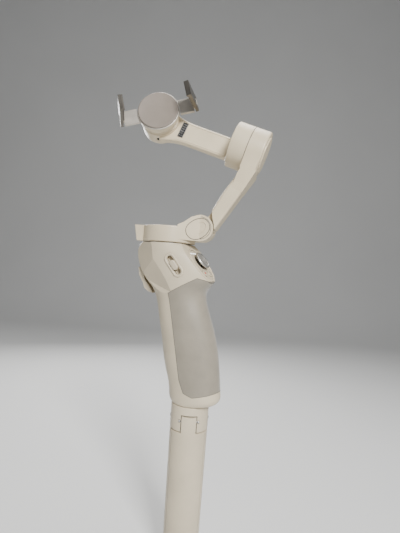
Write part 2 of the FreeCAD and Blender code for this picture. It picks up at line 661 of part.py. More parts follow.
def make_arm():
    half = ARM_DEPTH / 2
    profile = arm_profile(half)
    profile = profile.cut(cyl_y(HINGE_R + RUN_GAP, half + 1, HINGE_X, HINGE_Z))
    fold_back = chain(shift(HINGE_X, 0, HINGE_Z), turn(Y_AXIS, FOLD_RANGE), shift(-HINGE_X, 0, -HINGE_Z))
    notch = prism_y([(x - RUN_GAP, z + RUN_GAP) for x, z in WEB_OUTLINE[:5]] + WEB_OUTLINE[5:], half + 1)
    notch.Placement = fold_back
    long_edges = [edge for edge in profile.Edges if edge.Length > 35 and abs(abs(edge.CenterOfMass.y) - half) < 0.1]
    profile = profile.makeFillet(2.2, long_edges).cut(notch)

    to_pan = chain(shift(TILT_X, 0, TILT_Z), turn(Y_AXIS, TILT_DROP))
    cap = cyl_x(TILT_R, RUN_GAP / 2, TILT_CAP_LENGTH)
    cap = rounded(cap, 1.6, lambda edge: circle_edge(edge, TILT_R, TILT_CAP_LENGTH, "x"))
    dome = cyl_x(TILT_R - 4, TILT_CAP_LENGTH - 0.5, TILT_CAP_LENGTH + 1.0)
    dome = rounded(dome, 0.9, lambda edge: circle_edge(edge, TILT_R - 4, TILT_CAP_LENGTH + 1.0, "x"))
    hollow = cyl_x(TILT_R - TILT_WALL, 0, TILT_CAP_LENGTH - 2.6)
    for shape in (cap, dome, hollow):
        shape.Placement = to_pan.multiply(shape.Placement)
    ring_space = cyl_x(TILT_R + 1.5, -TILT_RING_LENGTH - 2, RUN_GAP / 2)
    ring_space.Placement = to_pan.multiply(ring_space.Placement)

    tongue = joined([cyl_y(TONGUE_HINGE_R, TONGUE_THICK / 2, HINGE_X, HINGE_Z),
                     prism_y([(30.5, 283.0), (38.6, 284.0), (41.4, 286.2), (48, 297), (45, 306),
                              (37.2, 301.0), (34.0, 296.4), (29, 290)], TONGUE_THICK / 2)])
    tear = [Vector(0, y * side, z) for side in (1,) for y, z in MOTOR_FLARE]
    tear += [Vector(0, -y, z) for y, z in reversed(MOTOR_FLARE)]
    flare = Part.Face(Part.makePolygon(tear + tear[:1])).extrude(Vector(60, 0, 0))
    flare.translate(Vector(-30, 0, 0))
    deep = box(RUN_GAP / 2, TILT_CAP_LENGTH - 1.0, -TILT_R, TILT_R, -TILT_R, 0)
    flare.Placement = to_pan
    deep.Placement = to_pan
    flare = joined([arm_profile(TILT_R), deep]).common(flare).cut(ring_space)
    body = joined([profile.cut(ring_space), cap, flare, dome, tongue])
    pin_bore = cyl_y(HINGE_PIN_R + SHAFT_PLAY, half, HINGE_X, HINGE_Z)
    body = cut_all(body, [hollow, pin_bore])
    keep("folding_arm", PAN, max(body.Solids, key=lambda solid: solid.Volume))

    index = STOP_PIN_AT * (len(ARM_INNER) - 1)
    low = ARM_INNER[int(index)]
    high = ARM_INNER[int(index) + 1]
    part = index - int(index)
    base = Vector(low[0] + (high[0] - low[0]) * part, 0, low[1] + (high[1] - low[1]) * part)
    along = Vector(high[0] - low[0], 0, high[1] - low[1]).normalize()
    out = Vector(-along.z, 0, along.x)
    stop = Part.makeCylinder(1.5, 3.2, base - out * 1.2, out)
    stop = stop.cut(profile)
    keep("fold_stop_pin", PAN, max(stop.Solids, key=lambda solid: solid.Volume))


def make_tilt_motor():
    """Cup on the folding arm's side; Z of the core runs along the tilt axis."""
    along = chain(ARM_MOTOR, turn(Y_AXIS, 90))
    stator, low, high = motor_core(12.4, 5.2, 2.5, 0.8, TILT_CAP_LENGTH - 2.6)
    keep("tilt_stator", along, stator)
    keep("tilt_bearings", along, low, high)


# ---------------------------------------------------------------- roll arm, on the tilt axis
def make_tilt_ring():
    start = -TILT_RING_LENGTH
    ring = cyl_x(TILT_R, start, -RUN_GAP / 2)
    ring = rounded(ring, 0.9, lambda edge: circle_edge(edge, TILT_R, start, "x"))
    ring = ring.cut(cyl_x(TILT_R - TILT_WALL, start + 2.4, 1))
    ring = ring.cut(cyl_x(2.5, start + 1.0, 1))
    keep("tilt_ring", TILT, ring)
    rotor = cyl_x(16.6, start + 2.4, 9.4).cut(cyl_x(13.3, start + 4.8, 10))
    keep("tilt_rotor", TILT, joined([rotor, cyl_x(2.5, start + 1.0, TILT_CAP_LENGTH - 3.0)]))


def roll_arm_outline():
    """Side edges flare from the tilt motor into the round roll housing."""
    half = ROLL_ARM_HALF_WIDTH
    start = -TILT_RING_LENGTH
    straight_end, flare_end, flare = -54, -80, 5.4
    mid = (straight_end + flare_end) / 2
    edges = []
    for side in (1, -1):
        run = [Vector(start, 0, side * half), Vector(straight_end, 0, side * half),
               Vector(mid, 0, side * (half + 0.25 * flare)), Vector(flare_end, 0, side * (half + flare))]
        edges.append(Part.LineSegment(run[0], run[1]).toShape())
        edges.append(Part.Arc(run[1], run[2], run[3]).toShape())
    for x, reach in ((start, half), (flare_end, half + flare)):
        edges.append(Part.LineSegment(Vector(x, 0, reach), Vector(x, 0, -reach)).toShape())
    wire = Part.Wire(Part.__sortEdges__(edges))
    return Part.Face(wire)


def make_roll_arm():
    face = roll_arm_outline()
    face.translate(Vector(0, ROLL_ARM_FRONT, -ROLL_ARM_DROP))
    bar = face.extrude(Vector(0, ROLL_ARM_BACK - ROLL_ARM_FRONT, 0))
    long_edges = []
    for edge in bar.Edges:
        middle = edge.CenterOfMass
        on_face = min(abs(middle.y - ROLL_ARM_FRONT), abs(middle.y - ROLL_ARM_BACK)) < 0.05
        if on_face and edge.Length > 20 and abs(middle.x + 80) > 3 and abs(middle.z + ROLL_ARM_DROP) > 3:
            long_edges.append(edge)
    bar = bar.makeFillet(1.3, long_edges)
    housing = Part.makeCylinder(ROLL_R, ROLL_HOUSING_FRONT - ROLL_BACK,
                                Vector(-ROLL_REACH, -ROLL_HOUSING_FRONT, ROLL_OFFSET), Y_AXIS)
    housing = rounded(housing, 1.5, lambda edge: circle_edge(edge, ROLL_R, -ROLL_BACK, "y"))
    body = joined([bar, housing])
    hollow = Part.makeCylinder(ROLL_R - 1.7, ROLL_HOUSING_FRONT - ROLL_BACK - 2.0,
                               Vector(-ROLL_REACH, -ROLL_HOUSING_FRONT, ROLL_OFFSET), Y_AXIS)
    body = body.cut(hollow)
    duct = box(-68, -22, ROLL_ARM_FRONT + 1.4, ROLL_ARM_BACK - 1.4, -6.5, 6.5)
    side_hole = cyl(VENT_R, ROLL_R - 2.5, ROLL_R + 0.5)
    side_hole.Placement = chain(shift(-ROLL_REACH, VENT_DEPTH, ROLL_OFFSET), turn(Y_AXIS, 180 - VENT_ANGLE))
    body = cut_all(body, [duct, side_hole])
    keep("roll_arm", TILT, max(body.Solids, key=lambda solid: solid.Volume))
    keep("motor_ribbon_cable", TILT, box(-67, -23, 9.6, 10.2, -5, 5))
    inner = -ROLL_REACH + ROLL_R + LABEL_MARGIN
    label = box(inner, inner + LABEL_WIDTH, ROLL_ARM_FRONT - 0.25, ROLL_ARM_FRONT,
                -LABEL_LENGTH / 2, LABEL_LENGTH / 2)
    keep("rating_label", TILT, label)


def make_roll_motor():
    stator, low, high = motor_core(9.6, 4.6, 2.0, ROLL_BACK + 2.0, -6.2)
    keep("roll_stator", ROLL_HOUSING, stator)
    keep("roll_bearings", ROLL_HOUSING, low, high)
    ring = cyl(ROLL_R, ROLL_RING_BACK, MAGNET_BASE_BACK)
    cup = bell(13.0, 10.6, -15.0, ROLL_RING_BACK, 1.6)
    keep("roll_rotor", ROLL, joined([cup, cyl(2.0, ROLL_BACK + 2.4, ROLL_RING_BACK + 1.5)]))
    keep("roll_ring", ROLL, ring.cut(cyl(2.0, ROLL_RING_BACK, ROLL_RING_BACK + 1.5)))


def magnet_places():
    return [(9.5 * math.cos(math.radians(a)), 9.5 * math.sin(math.radians(a))) for a in (45, 135, 225, 315)]


def make_magnet_base():
    front = CLAMP_BACK - 0.2
    base = cyl(ROLL_R, MAGNET_BASE_BACK, front)
    base = rounded(base, 0.6, lambda edge: circle_edge(edge, ROLL_R, front))
    magnets = [cyl(2.6, front - 1.8, front, x=x, y=y) for x, y in magnet_places()]
    keep("magnet_base", ROLL, cut_all(base, magnets))
    keep("base_magnets", ROLL, *magnets)


# ---------------------------------------------------------------- phone clamp
def make_clamp():
    base = cyl(CLAMP_R, CLAMP_BACK, COVER_BACK)
    channel = box(-CLAMP_R - 1, CLAMP_R + 1, -ARM_HALF_WIDTH - SLIDE_GAP, ARM_HALF_WIDTH + SLIDE_GAP,
                  CHANNEL_BACK, COVER_BACK)
    base = rounded(base, 0.5, lambda edge: circle_edge(edge, CLAMP_R, CLAMP_BACK)).cut(channel)
    keep("clamp_base", ROLL, base)
    cover = cyl(CLAMP_R, COVER_BACK, COVER_FRONT)
    cover = rounded(cover, 0.6, lambda edge: circle_edge(edge, CLAMP_R, COVER_FRONT))
    keep("clamp_cover", ROLL, cover)
    pad = cyl(PAD_R, COVER_FRONT, PAD_FRONT)
    keep("clamp_pad", ROLL, rounded(pad, 0.4, lambda edge: circle_edge(edge, PAD_R, PAD_FRONT)))


def make_jaws():
    """Two mirrored sliding arms, each with a tail beside the other's and a hinged claw."""
    back = CHANNEL_BACK + 0.2
    front = back + ARM_THICK
    half = ARM_HALF_WIDTH
    shoulder = CLAMP_R + 0.2
    eye_x, eye_z = CLAW_PIVOT
    plate = box(shoulder, ARM_REACH, -half, half, back, front)
    tail = box(-ARM_TAIL_REACH, shoulder, ARM_TAIL_INNER, half, back, front)
    knuckle = joined([box(ARM_REACH - 1, eye_x, -3.4, 3.4, back, eye_z - 0.7),
                      cyl_y(1.5, 3.4, eye_x, eye_z)])
    arm = joined([plate, tail, knuckle]).cut(cyl_y(CLAW_PIN_R + SHAFT_PLAY, half, eye_x, eye_z))

    thick = CLAW_THICK / 2
    blade = box(-thick, thick, -half, half, -CLAW_SKIRT, CLAW_HEIGHT)
    blade = blade.cut(box(-5, 5, -3.6, 3.6, -5, 3.0))
    blade = rounded(blade, 1.0, lambda edge: edge.Length < 3 and abs(edge.CenterOfMass.z - CLAW_HEIGHT) < 1.5)
    hook = box(-thick - 1.6, thick, -half, half, CLAW_HEIGHT - 2.0, CLAW_HEIGHT)
    grip = box(-thick - 0.9, -thick, -half + 1, half - 1, 4.5, CLAW_HEIGHT - 2.2)
    pin = cyl_y(CLAW_PIN_R, half, 0, 0)
    claw = joined([blade, hook, pin])
    claw_frame = chain(shift(eye_x, 0, eye_z), turn(Y_AXIS, -CLAW_LEAN))
    for name, side_turn in (("right", 0), ("left", 180)):
        frame = chain(ROLL, turn(Z_AXIS, side_turn))
        keep("clamp_arm_" + name, frame, arm)
        keep("claw_" + name, frame.multiply(claw_frame), claw)
        keep("claw_pad_" + name, frame.multiply(claw_frame), grip)


# ---------------------------------------------------------------- build and export
def build():
    make_collar()
    make_legs()
    make_handle()
    make_inner_parts()
    make_panel()
    make_buttons()
    make_joystick()
    make_slider()
    make_trigger()
    make_pan_motor()
    make_pan_ring()
    make_arm()
    make_tilt_motor()
    make_tilt_ring()
    make_roll_arm()
    make_roll_motor()
    make_magnet_base()
    make_clamp()
    make_jaws()


build()
for node, solids in NODES.items():
    shape = solids[0] if len(solids) == 1 else Part.makeCompound(solids)
    shape.exportStep("parts/%s.step" % node)
    print("%-22s solids %d volume %9.1f valid %s" % (node, len(solids), shape.Volume, shape.isValid()))
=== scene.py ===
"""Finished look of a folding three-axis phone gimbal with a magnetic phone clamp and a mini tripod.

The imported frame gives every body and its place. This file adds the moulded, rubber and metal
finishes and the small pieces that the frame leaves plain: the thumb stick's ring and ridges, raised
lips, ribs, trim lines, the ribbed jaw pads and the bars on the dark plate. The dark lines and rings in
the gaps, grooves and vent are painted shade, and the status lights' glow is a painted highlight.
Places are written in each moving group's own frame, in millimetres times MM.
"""

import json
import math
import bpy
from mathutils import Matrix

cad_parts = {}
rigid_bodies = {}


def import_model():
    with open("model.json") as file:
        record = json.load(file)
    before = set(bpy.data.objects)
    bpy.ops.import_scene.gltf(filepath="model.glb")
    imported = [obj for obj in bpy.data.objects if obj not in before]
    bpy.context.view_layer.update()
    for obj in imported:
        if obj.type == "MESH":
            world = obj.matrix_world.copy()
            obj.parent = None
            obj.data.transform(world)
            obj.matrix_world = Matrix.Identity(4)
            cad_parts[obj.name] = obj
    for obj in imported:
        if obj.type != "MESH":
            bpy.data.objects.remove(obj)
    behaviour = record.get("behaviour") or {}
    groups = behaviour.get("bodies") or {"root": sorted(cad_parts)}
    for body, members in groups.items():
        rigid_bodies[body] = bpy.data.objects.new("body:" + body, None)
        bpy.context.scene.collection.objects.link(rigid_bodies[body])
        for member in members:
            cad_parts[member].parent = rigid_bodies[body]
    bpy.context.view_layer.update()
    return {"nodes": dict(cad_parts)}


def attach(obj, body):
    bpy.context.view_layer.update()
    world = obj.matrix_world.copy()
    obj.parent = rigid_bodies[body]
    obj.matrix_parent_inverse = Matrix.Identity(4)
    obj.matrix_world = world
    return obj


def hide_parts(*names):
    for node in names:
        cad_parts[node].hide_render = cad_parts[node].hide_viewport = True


bl_info = {
    "name": "Folding Phone Gimbal Finish",
    "version": (1, 0, 0),
    "blender": (4, 5, 0),
    "location": "View3D > Sidebar > Gimbal",
    "description": "Finishes and fine pieces for a folding three-axis phone gimbal",
    "category": "Object",
}

import bmesh
import bpy
from bpy.props import FloatProperty, FloatVectorProperty, IntProperty, PointerProperty
from mathutils import Matrix, Vector
from mathutils.bvhtree import BVHTree

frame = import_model()

MM = 0.001

# ---------------------------------------------------------------- places of the moving groups
PAN_X = -32.0
PAN_REST = 16.0
HINGE_X, HINGE_Z = 28.6, 286.4
ARM_DEPTH = 22.0
TILT_X, TILT_Z, TILT_DROP, TILT_REST = 64.75, 357.1, 18.5, -14.0
TILT_R, TILT_RING_LENGTH = 19.7, 14.7
TILT_LINE_DEPTH = -12.7     # place of the fine line round the tilt motor's turning half
ROLL_REACH, ROLL_OFFSET, ROLL_REST = 87.0, 1.8, 35.0
ROLL_R = 17.4
VENT_DEPTH, VENT_ANGLE = 10.8, 18.0
ARM_FRONT, ARM_HALF_WIDTH, ARM_DROP = 7.0, 10.2, 0.8
ARM_STRAIGHT_END, ARM_FLARE_END, ARM_FLARE = -54.0, -80.0, 5.4
BEAD_END, BEAD_INSET = -66.5, 1.9
HINGE_COVER_R = 9.4
HINGE_BADGE, HINGE_GROOVE = (6.0, 4.0), (10.3, 7.9)     # half sizes of the two ovals
HINGE_BADGE_TURN, HINGE_GROOVE_SHIFT = 38.0, -1.6
LABEL_X, LABEL_WIDTH, LABEL_LENGTH, LABEL_INSET = -63.6, 5.2, 15.2, 0.3
PAD_R, PAD_BACK, PAD_FRONT = 17.7, 7.3, 8.3
STICK_X, STICK_R, STICK_RING_WIDTH = -2.9, 8.0, 2.0
STICK_PIVOT, STEM_R, STEM_FOOT = -3.5, 1.6, -5.1
DISH_STEPS, DISH_FLOOR, DISH_RISE, RIDGE_HEIGHT = 24, 3.15, 0.75, 0.09
BUTTON_X, BUTTON_Y = 8.9, 5.1
PANEL_HALF_LENGTH, PANEL_HALF_WIDTH, RIM_WIDTH = 17.2, 14.0, 1.3
LIP_GAP = 0.1               # between a lip's inner edge and the fine line inside it
SLOT_LENGTH, SLOT_WIDTH, BEZEL_LIP = 22.4, 9.6, 2.0
SLOT_DEPTH, SLOT_FLOOR = -1.3, (-4.4, -3.7)
KNOB_LENGTH, KNOB_WIDTH = 9.2, 5.0
CLAW_PIVOT, CLAW_LEAN, CLAW_HEIGHT, CLAW_THICK = (33.4, 7.2), 12.0, 22.0, 2.6
CLAW_PAD_FOOT, CLAW_PAD_TOP_GAP, CLAW_PAD_THICK = 4.5, 2.2, 0.9
LEG_COUNT, LEG_FIRST_ANGLE, LEG_PIVOT_R, LEG_PIVOT_Z, PIN_HEAD_Y = 3, -65.0, 13.2, 126.0, 8.0
COLLAR_LOW_TOP, COLLAR_INNER_R = 136.8, 15.2
PORT_TURN, PORT_DEPTH, PORT_Z = 60.0, 14.8, 159.0


def turn(axis, degrees):
    return Matrix.Rotation(math.radians(degrees), 4, axis)


def shift(x, y, z):
    return Matrix.Translation((x * MM, y * MM, z * MM))


HANDLE = Matrix.Identity(4)
PANEL = shift(1.3, 0, 254.8) @ turn("Y", 50.3)
SLIDER = shift(-13.9, -21.4, 253.4) @ turn("Z", 9.2) @ turn("X", 90) @ turn("Z", -52)
PAN = shift(PAN_X, 0, 0) @ turn("Z", PAN_REST)
ARM_MOTOR = PAN @ shift(TILT_X, 0, TILT_Z) @ turn("Y", TILT_DROP)
TILT = ARM_MOTOR @ turn("X", TILT_REST)
ROLL_HOUSING = TILT @ shift(-ROLL_REACH, 0, ROLL_OFFSET) @ turn("X", 90)
ROLL = ROLL_HOUSING @ turn("Z", ROLL_REST)
ARM_FACE = TILT @ shift(0, ARM_FRONT, -ARM_DROP) @ turn("X", 90)

LENS, SENSOR_WIDTH = 27.0, 36.0
LAMPS = (   # name, place, aim, size and power
    ("key", (0.62, -0.62, 0.72), (0, 0, 0.27), 0.26, 18.5),
    ("fill", (-0.75, -0.55, 0.42), (0, 0, 0.25), 0.8, 1.1),
    ("top", (-0.1, 0.25, 1.05), (0, 0, 0.2), 0.6, 8.0),
    ("edge", (-0.55, 0.55, 0.5), (0, 0, 0.27), 0.3, 5.0))


# ---------------------------------------------------------------- settings
class GimbalColours(bpy.types.PropertyGroup):
    shell: FloatVectorProperty(
        name="Shell", description="Moulded handle and tripod", subtype="COLOR", size=3,
        default=(0.55, 0.475, 0.345), min=0, max=1)
    ring: FloatVectorProperty(
        name="Motor rings", description="Painted rings and arms", subtype="COLOR", size=3,
        default=(0.57, 0.485, 0.34), min=0, max=1)
    grip: FloatVectorProperty(
        name="Grip", description="Rubber grip sleeve", subtype="COLOR", size=3,
        default=(0.25, 0.222, 0.172), min=0, max=1)
    pad: FloatVectorProperty(
        name="Clamp pad", description="Silicone face of the clamp", subtype="COLOR", size=3,
        default=(0.20, 0.168, 0.138), min=0, max=1)
    metal: FloatVectorProperty(
        name="Clamp metal", description="Dark plated claws; the clamp's arms are lighter", subtype="COLOR",
        size=3,
        default=(0.15, 0.138, 0.12), min=0, max=1)
    # Painted shade: this dark colour stands in for the shade inside parting lines, gaps, grooves and the
    # vent
    seam: FloatVectorProperty(
        name="Seam shadow", description="Parting lines and gaps", subtype="COLOR", size=3,
        default=(0.07, 0.063, 0.052), min=0, max=1)


class GimbalDetails(bpy.types.PropertyGroup):
    seam_radius: FloatProperty(
        name="Seam radius", description="Half width of a parting line", default=0.17 * MM,
        min=0.05 * MM, max=0.6 * MM, unit="LENGTH")
    stick_ticks: IntProperty(
        name="Stick ticks", description="Knurls round the thumb stick's ring", default=44, min=8,
        max=90)
    knob_ribs: IntProperty(
        name="Knob ribs", description="Ribs on the zoom slider's knob", default=4, min=2, max=9)
    pad_ribs: IntProperty(
        name="Jaw ribs", description="Ribs on each jaw's rubber pad", default=8, min=3, max=14)
    label_seed: IntProperty(
        name="Plate seed", description="Arrangement of the bars on the black plate", default=4, min=0)


class GimbalStage(bpy.types.PropertyGroup):
    azimuth: FloatProperty(
        name="Camera azimuth", description="Turn of the camera round the handle",
        default=math.radians(25), subtype="ANGLE")
    distance: FloatProperty(
        name="Camera distance", description="Camera to the handle's axis", default=0.342,
        min=0.1, unit="LENGTH")
    height: FloatProperty(
        name="Camera height", description="Height of the camera", default=0.2537, unit="LENGTH")
    lean: FloatProperty(
        name="Camera lean", description="Roll of the camera about its view", default=math.radians(4.1),
        subtype="ANGLE")
    floor: FloatVectorProperty(
        name="Floor", description="Colour of the floor and backdrop", subtype="COLOR", size=3,
        default=(0.62, 0.62, 0.61), min=0, max=1)


# ---------------------------------------------------------------- mesh helpers
def finished(name, mesh, material, body, smooth=40):
    """Link a mesh as a piece that rides on a body, with soft shading over gentle edges."""
    mesh.name = name
    mesh.materials.clear()
    mesh.materials.append(material)
    for polygon in mesh.polygons:
        polygon.use_smooth = True
        polygon.material_index = 0
    mesh.set_sharp_from_angle(angle=math.radians(smooth))
    piece = bpy.data.objects.new(name, mesh)
    bpy.context.scene.collection.objects.link(piece)
    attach(piece, body)
    return piece


def placed_mesh(verts, faces, place):
    """A closed mesh with outward faces, moved to its place."""
    mesh = bpy.data.meshes.new("shape")
    mesh.from_pydata([place @ (Vector(v) * MM) for v in verts], [], faces)
    shape = bmesh.new()
    shape.from_mesh(mesh)
    bmesh.ops.remove_doubles(shape, verts=shape.verts, dist=0.004 * MM)
    bmesh.ops.recalc_face_normals(shape, faces=shape.faces)
    shape.to_mesh(mesh)
    shape.free()
    return mesh


def turned(profile, place, segments=96):
    """A closed outline of radius and height turned about the local Z axis."""
    verts, faces = [], []
    for index in range(segments):
        angle = 2 * math.pi * index / segments
        verts += [(r * math.cos(angle), r * math.sin(angle), z) for r, z in profile]
    count = len(profile)
    for index in range(segments):
        here, there = index * count, (index + 1) % segments * count
        for step in range(count):
            after = (step + 1) % count
            quad = [here + step, there + step, there + after, here + after]
            if profile[step][0] == 0 and profile[after][0] == 0:
                continue
            if profile[step][0] == 0:
                quad = [here + step, there + after, here + after]
            elif profile[after][0] == 0:
                quad = [here + step, there + step, here + after]
            faces.append(quad)
    return placed_mesh(verts, faces, place)


def swept(path, profile, place, closed=True):
    """A profile of sideways offset and height carried along a flat path of points."""
    count, size = len(path), len(profile)
    verts, faces = [], []
    for index, (x, y) in enumerate(path):
        before = path[index - 1] if closed or index else path[index]
        after = path[(index + 1) % count] if closed or index < count - 1 else path[index]
        run = Vector((after[0] - before[0], after[1] - before[1])).normalized()
        out = Vector((run.y, -run.x))
        verts += [(x + out.x * side, y + out.y * side, rise) for side, rise in profile]
    for index in range(count if closed else count - 1):
        here, there = index * size, (index + 1) % count * size
        for step in range(size):
            after = (step + 1) % size
            faces.append([here + step, here + after, there + after, there + step])
    if not closed:
        faces.append(list(range(size)))
        faces.append(list(range((count - 1) * size, count * size)))
    return placed_mesh(verts, faces, place)


def ellipse_path(half_x, half_y, count=120, power=1.0):
    """Points round an ellipse; a power under 1 squares it off."""
    points = []
    for index in range(count):
        angle = 2 * math.pi * index / count
        x, y = math.cos(angle), math.sin(angle)
        points.append((half_x * math.copysign(abs(x) ** power, x),
                       half_y * math.copysign(abs(y) ** power, y)))
    return points


def stadium_path(length, width, arc=20):
    """Points round a slot with round ends along X."""
    radius, run = width / 2, (length - width) / 2
    points = []
    for side, start in ((1, -90), (-1, 90)):
        for step in range(arc + 1):
            angle = math.radians(start + 180 * step / arc)
            points.append((side * run + radius * math.cos(angle), radius * math.sin(angle)))
    return points


def round_lip(half_width, bottom, top, steps=6):
    """Profile of a lip with a domed top."""
    points = [(-half_width, bottom)]
    dome = half_width * 0.8
    for step in range(steps + 1):
        angle = math.pi * (1 - step / steps)
        points.append((half_width * math.cos(angle), top - dome + dome * math.sin(angle)))
    points.append((half_width, bottom))
    return points


def washer(inner, outer, low, high):
    """Outline of a flat ring between two radii and two heights."""
    return [(inner, low), (outer, low), (outer, high), (inner, high)]


def stack_faces(count, levels):
    """Faces of a stack of equal outlines, closed at both ends."""
    faces = [list(range(count)), list(range((levels - 1) * count, levels * count))]
    for level in range(levels - 1):
        low, high = level * count, (level + 1) * count
        for index in range(count):
            after = (index + 1) % count
            faces.append([low + index, low + after, high + after, high + index])
    return faces


# ---------------------------------------------------------------- geometry trees
class Tree:
    """A geometry tree with named inputs, built for one carrier mesh."""

    def __init__(self, name, inputs):
        self.group = bpy.data.node_groups.new(name, "GeometryNodeTree")
        self.group.interface.new_socket("Geometry", in_out="INPUT", socket_type="NodeSocketGeometry")
        self.ids = {}
        for label, kind in inputs.items():
            socket = self.group.interface.new_socket(label, in_out="INPUT", socket_type="NodeSocket" + kind)
            self.ids[label] = socket.identifier
        self.group.interface.new_socket("Geometry", in_out="OUTPUT", socket_type="NodeSocketGeometry")
        self.start = self.group.nodes.new("NodeGroupInput")
        self.end = self.group.nodes.new("NodeGroupOutput")

    def node(self, kind, settings=None, **sockets):
        node = self.group.nodes.new(kind)
        for key, value in (settings or {}).items():
            setattr(node, key, value)
        for key, value in sockets.items():
            self.feed(node, key.replace("_", " "), value)
        return node

    def feed(self, node, key, value):
        socket = node.inputs[key]
        if isinstance(value, bpy.types.NodeSocket):
            self.group.links.new(value, socket)
        else:
            socket.default_value = value

    def given(self, label):
        return self.start.outputs[label]

    def finish(self, geometry):
        real = self.node("GeometryNodeRealizeInstances", Geometry=geometry)
        painted = self.node("GeometryNodeSetMaterial", Geometry=real.outputs[0],
                            Material=self.given("Material"))
        self.group.links.new(painted.outputs[0], self.end.inputs[0])
        return self

    def run(self, carrier, values):
        """The tree's result on a carrier mesh, as a plain mesh."""
        holder = bpy.data.objects.new("carrier", carrier)
        bpy.context.scene.collection.objects.link(holder)
        modifier = holder.modifiers.new("tree", "NODES")
        modifier.node_group = self.group
        for label, value in values.items():
            modifier[self.ids[label]] = value
        shown = holder.evaluated_get(bpy.context.evaluated_depsgraph_get())
        mesh = bpy.data.meshes.new_from_object(shown)
        holder.modifiers.remove(modifier)
        bpy.data.objects.remove(holder)
        return mesh


def rib_row_tree():
    """Round-backed ribs in rows and columns on the local XY plane, lengths varied by the seed."""
    tree = Tree("rib_row", {"Columns": "Int", "Rows": "Int", "Pitch X": "Float", "Pitch Y": "Float",
                            "Rib": "Vector", "Shortest": "Float", "Seed": "Int", "Material": "Material"})
    spread = []
    for count, pitch in (("Columns", "Pitch X"), ("Rows", "Pitch Y")):
        gaps = tree.node("ShaderNodeMath", {"operation": "SUBTRACT"})
        tree.feed(gaps, 0, tree.given(count))
        tree.feed(gaps, 1, 1.0)
        length = tree.node("ShaderNodeMath", {"operation": "MULTIPLY"})
        tree.feed(length, 0, gaps.outputs[0])
        tree.feed(length, 1, tree.given(pitch))
        spread.append(length.outputs[0])
    grid = tree.node("GeometryNodeMeshGrid", Size_X=spread[0], Size_Y=spread[1],
                     Vertices_X=tree.given("Columns"), Vertices_Y=tree.given("Rows"))
    bar = tree.node("GeometryNodeMeshCylinder", Vertices=10, Radius=0.5, Depth=1.0)
    lying = tree.node("GeometryNodeTransform", Geometry=bar.outputs[0], Rotation=(math.radians(90), 0, 0))
    shaped = tree.node("GeometryNodeTransform", Geometry=lying.outputs[0], Scale=tree.given("Rib"))
    length = tree.node("FunctionNodeRandomValue", {"data_type": "FLOAT"}, Seed=tree.given("Seed"))
    tree.group.links.new(tree.given("Shortest"), length.inputs[2])
    length.inputs[3].default_value = 1.0
    size = tree.node("ShaderNodeCombineXYZ", X=1.0, Y=length.outputs[1], Z=1.0)
    ribs = tree.node("GeometryNodeInstanceOnPoints", Points=grid.outputs[0], Instance=shaped.outputs[0],
                     Scale=size.outputs[0])
    return tree.finish(ribs.outputs[0])


def stud_ring_tree():
    """Small studs set evenly round a circle on the local XY plane."""
    tree = Tree("stud_ring", {"Count": "Int", "Radius": "Float", "Stud": "Vector", "Sides": "Int",
                              "Material": "Material"})
    circle = tree.node("GeometryNodeMeshCircle", Vertices=tree.given("Count"), Radius=tree.given("Radius"))
    stud = tree.node("GeometryNodeMeshCylinder", Vertices=tree.given("Sides"), Radius=0.5, Depth=1.0)
    shaped = tree.node("GeometryNodeTransform", Geometry=stud.outputs[0], Scale=tree.given("Stud"))
    place = tree.node("GeometryNodeInputPosition")
    facing = tree.node("FunctionNodeAlignRotationToVector", {"axis": "X"}, Vector=place.outputs[0])
    studs = tree.node("GeometryNodeInstanceOnPoints", Points=circle.outputs[0], Instance=shaped.outputs[0],
                      Rotation=facing.outputs[0])
    return tree.finish(studs.outputs[0])


def seam_line_tree():
    """A thin round line laid along every edge of the carrier."""
    tree = Tree("seam_line", {"Radius": "Float", "Material": "Material"})
    line = tree.node("GeometryNodeMeshToCurve", Mesh=tree.start.outputs[0])
    section = tree.node("GeometryNodeCurvePrimitiveCircle", Resolution=6, Radius=tree.given("Radius"))
    tube = tree.node("GeometryNodeCurveToMesh", Curve=line.outputs[0], Profile_Curve=section.outputs[0],
                     Fill_Caps=True)
    return tree.finish(tube.outputs[0])


def dot():
    """A single-point carrier for a tree that makes its own points."""
    mesh = bpy.data.meshes.new("dot")
    mesh.from_pydata([(0, 0, 0)], [], [])
    return mesh


def rib_rows(name, material, body, place, columns, rows, pitch, rib, shortest=1.0, seed=0):
    tree = rib_row_tree()
    mesh = tree.run(dot(), {
        "Columns": columns, "Rows": rows, "Pitch X": pitch[0] * MM, "Pitch Y": pitch[1] * MM,
        "Rib": tuple(value * MM for value in rib), "Shortest": shortest, "Seed": seed,
        "Material": material})
    mesh.transform(place)
    return finished(name, mesh, material, body)


def stud_ring(name, material, body, place, count, radius, stud, sides=8):
    tree = stud_ring_tree()
    mesh = tree.run(dot(), {
        "Count": count, "Radius": radius * MM, "Stud": tuple(value * MM for value in stud),
        "Sides": sides, "Material": material})
    mesh.transform(place)
    return finished(name, mesh, material, body)


def sharp_edges(node, keep_edge, angle=55):
    """The crisp edges of a CAD node that a rule picks, as a mesh of edges only."""
    shape = bmesh.new()
    shape.from_mesh(frame["nodes"][node].data)
    bmesh.ops.remove_doubles(shape, verts=shape.verts, dist=0.002 * MM)
    verts, edges, known = [], [], {}
    for edge in shape.edges:
        if len(edge.link_faces) != 2 or edge.calc_face_angle(0) < math.radians(angle):
            continue
        if not keep_edge((edge.verts[0].co + edge.verts[1].co) / 2):
            continue
        ends = []
        for vert in edge.verts:
            if vert.index not in known:
                known[vert.index] = len(verts)
                verts.append(vert.co.copy())
            ends.append(known[vert.index])
        edges.append(ends)
    shape.free()
    mesh = bpy.data.meshes.new("edges")
    mesh.from_pydata(verts, edges, [])
    return mesh


def seam(name, node, material, body, keep_edge, radius, angle=55):
    """A fine dark line of painted shade along the chosen edges of a CAD node."""
    line = sharp_edges(node, keep_edge, angle)
    if not line.edges:
        raise RuntimeError(name + " found no edges on " + node)
    mesh = seam_line_tree().run(line, {"Radius": radius, "Material": material})
    return finished(name, mesh, material, body)


